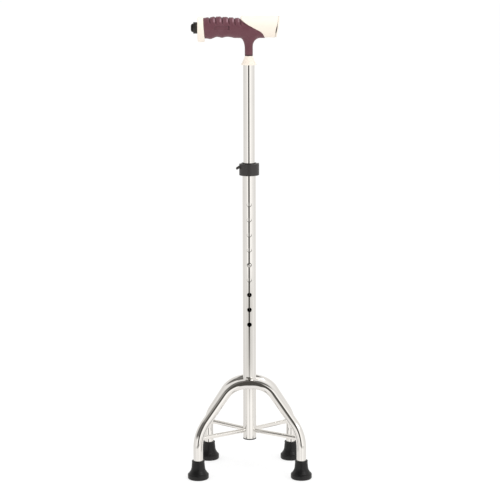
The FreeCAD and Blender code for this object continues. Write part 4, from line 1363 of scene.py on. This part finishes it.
# --- Studio --------------------------------------------------------------------------
@dataclass
class Studio:
    """Pale floor, soft light all round, a room for bright metal to mirror, and the camera. Places
    are in metres and angles in degrees. The horizon's stops are (bearing, brightness), with 0
    towards the viewer, and a pair (place, soft width) is a soft edge."""
    camera_far: float = 2.800
    camera_high: float = 0.9073
    camera_aside: float = 0.0012
    pitch: float = 10.7
    roll: float = -0.0024
    focal: float = 123.15
    floor_half: float = 60.0
    floor_grey: float = 0.34
    floor_glow: float = 0.66
    sky: float = 1.06
    horizon: tuple[Pair, ...] = (
        (-180, 0.86), (-137, 0.84), (-105, 0.74), (-72, 0.83), (-50, 0.84), (-36, 0.98),
        (-26, 1.14), (24, 1.14), (36, 1.08), (55, 0.96), (78, 0.88), (104, 0.80), (145, 0.88),
        (180, 0.88))
    horizon_tint: Triple = (1.0, 0.975, 0.945)
    table: Triple = (0.90, 0.875, 0.85)
    skirting: Triple = (0.72, 0.70, 0.67)
    ceiling: Triple = (0.165, 0.158, 0.148)
    batten: Triple = (0.30, 0.29, 0.27)
    viewer: Triple = (0.075, 0.07, 0.062)

    def build(self) -> None:
        """Make all of it."""
        self.floor()
        self.surroundings()
        self.lamps()
        self.camera()

    def floor(self) -> None:
        """A large pale floor with a glow of its own, which keeps its shadows faint. It doesn't
        show in reflections, where the surroundings stand in for it."""
        h = self.floor_half
        mesh = bpy.data.meshes.new("floor")
        mesh.from_pydata([(-h, -h, 0), (h, -h, 0), (h, h, 0), (-h, h, 0)], [], [(0, 1, 2, 3)])
        floor = linked("floor", mesh)
        paper = bpy.data.materials.new("floor_paper")
        paper.use_nodes = True
        sheet = Sheet(paper.node_tree)
        shader = sheet.node("BsdfPrincipled", {
            "Base Color": (*[self.floor_grey] * 3, 1.0), "Roughness": 1.0,
            "Specular IOR Level": 0.0, "Emission Color": (1.0, 1.0, 1.0, 1.0),
            "Emission Strength": self.floor_glow})
        sheet.node("OutputMaterial", {"Surface": shader})
        mesh.materials.append(paper)
        floor.visible_glossy = False

    def surroundings(self) -> None:
        """Even white for the view and for matt light, and a room that only mirror rays see. Round
        the horizon the room's brightness follows a ramp over the bearing, with a dark gap towards
        the viewer. The table below is pale, with a dimmer skirting above its far edge on the
        viewer's side. Up to the left and straight above there is a dark ceiling with a batten."""
        world = bpy.data.worlds.new("studio")
        bpy.context.scene.world = world
        world.use_nodes = True
        sheet = Sheet(world.node_tree)
        way = sheet.node("TexCoord", out="Generated")
        x, y, z = (sheet.along(axis, way) for axis in "XYZ")
        bearing = x.arctan2(0 - y) / TAU + 0.5
        stops = [((degrees + 180) / 360, tuple(bright * tint for tint in self.horizon_tint))
                 for degrees, bright in self.horizon]
        ring = sheet.node("ValToRGB", {0: bearing}, "Color", stops=stops)
        degrees = (bearing - 0.5) * 360
        table, fade = z.below(-0.31, 0.06), z.below(-0.249, 0.045)
        gap = degrees.between((-17.0, 3.0), (11.5, 3.0)) * (1 - fade + fade * (1 - table) * 0.3)
        skirting = (degrees.between((-60, 20), (60, 20))
                    * z.between((-0.26, 0.02), (-0.205, 0.02)))
        high_left = degrees.between((-88, 12), (15, 8)) * (1 - z.below(0.12, 0.16))
        overhead = 1 - z.below(0.86, 0.1)
        ceiling = sheet.mix(z.between((0.70, 0.03), (0.79, 0.03)), self.ceiling, self.batten)
        colour = sheet.mix(table, ring, self.table)
        colour = sheet.mix(skirting * 0.9, colour, self.skirting)
        colour = sheet.mix((high_left + overhead).clamp(), colour, ceiling)
        colour = sheet.mix(gap, colour, self.viewer)
        room = sheet.node("Background", {"Color": colour, "Strength": 1.0})
        even = sheet.node("Background", {"Color": (1.0, 1.0, 1.0, 1.0), "Strength": self.sky})
        mirrored = sheet.node("LightPath", out="Is Glossy Ray")
        both = sheet.node("MixShader", {0: mirrored, 1: even, 2: room})
        sheet.node("OutputWorld", {"Surface": both})

    @staticmethod
    def lamps() -> None:
        """Two soft lamps that look at the base: a wide one above, which mirrors don't show, and
        one at the front right."""
        target = Vector((0, 0, 0.3))
        for name, place, size, watts, mirrored in (
                ("top_softbox", (0.3, -0.4, 3.0), 1.6, 14.0, False),
                ("right_softbox", (2.0, -1.7, 1.9), 0.7, 9.0, True)):
            light = bpy.data.lights.new(name, "AREA")
            light.shape, light.size, light.energy = "SQUARE", size, watts
            lamp = linked(name, light)
            lamp.location = place
            lamp.rotation_euler = (target - Vector(place)).to_track_quat("-Z", "Y").to_euler()
            lamp.visible_glossy = mirrored

    def camera(self) -> None:
        """A long lens from the front, looking a little down, with a hair of roll in radians."""
        lens = bpy.data.cameras.new("camera")
        lens.lens, lens.sensor_width, lens.clip_end = self.focal, 36.0, 200.0
        camera = linked("camera", lens)
        stand = Matrix.Translation((self.camera_aside, -self.camera_far, self.camera_high))
        camera.matrix_world = (stand @ Matrix.Rotation(math.radians(90 - self.pitch), 4, "X")
                               @ Matrix.Rotation(self.roll, 4, "Z"))
        bpy.context.scene.camera = camera
        view = bpy.context.scene.view_settings
        view.view_transform, view.look, view.exposure, view.gamma = "Standard", "None", 0.0, 1.0


def main() -> None:
    """Load the frame, dress the cane and set up the studio."""
    logging.basicConfig(level=logging.INFO, format="%(name)s: %(message)s")
    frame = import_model()
    shop, shape, nodes = PaintShop(), HandleShape.measured(), frame["nodes"]
    assemblies = [KeptNodes(shop, record=frame["record"], nodes=nodes), Grip(shop, shape=shape),
                  TorchNose(shop, shape=shape), RearCap(shop, shape=shape),
                  PushButton(shop, shape=shape), WeldSeams(shop), SnapSpring(shop, nodes=nodes)]
    assemblies += [Foot(shop, place=f"{end}_{hand}")
                   for end in ("front", "rear") for hand in ("left", "right")]
    for assembly in assemblies:
        assembly.build()
        assembly.report()
    Studio().build()


if __name__ == "__main__":
    main()
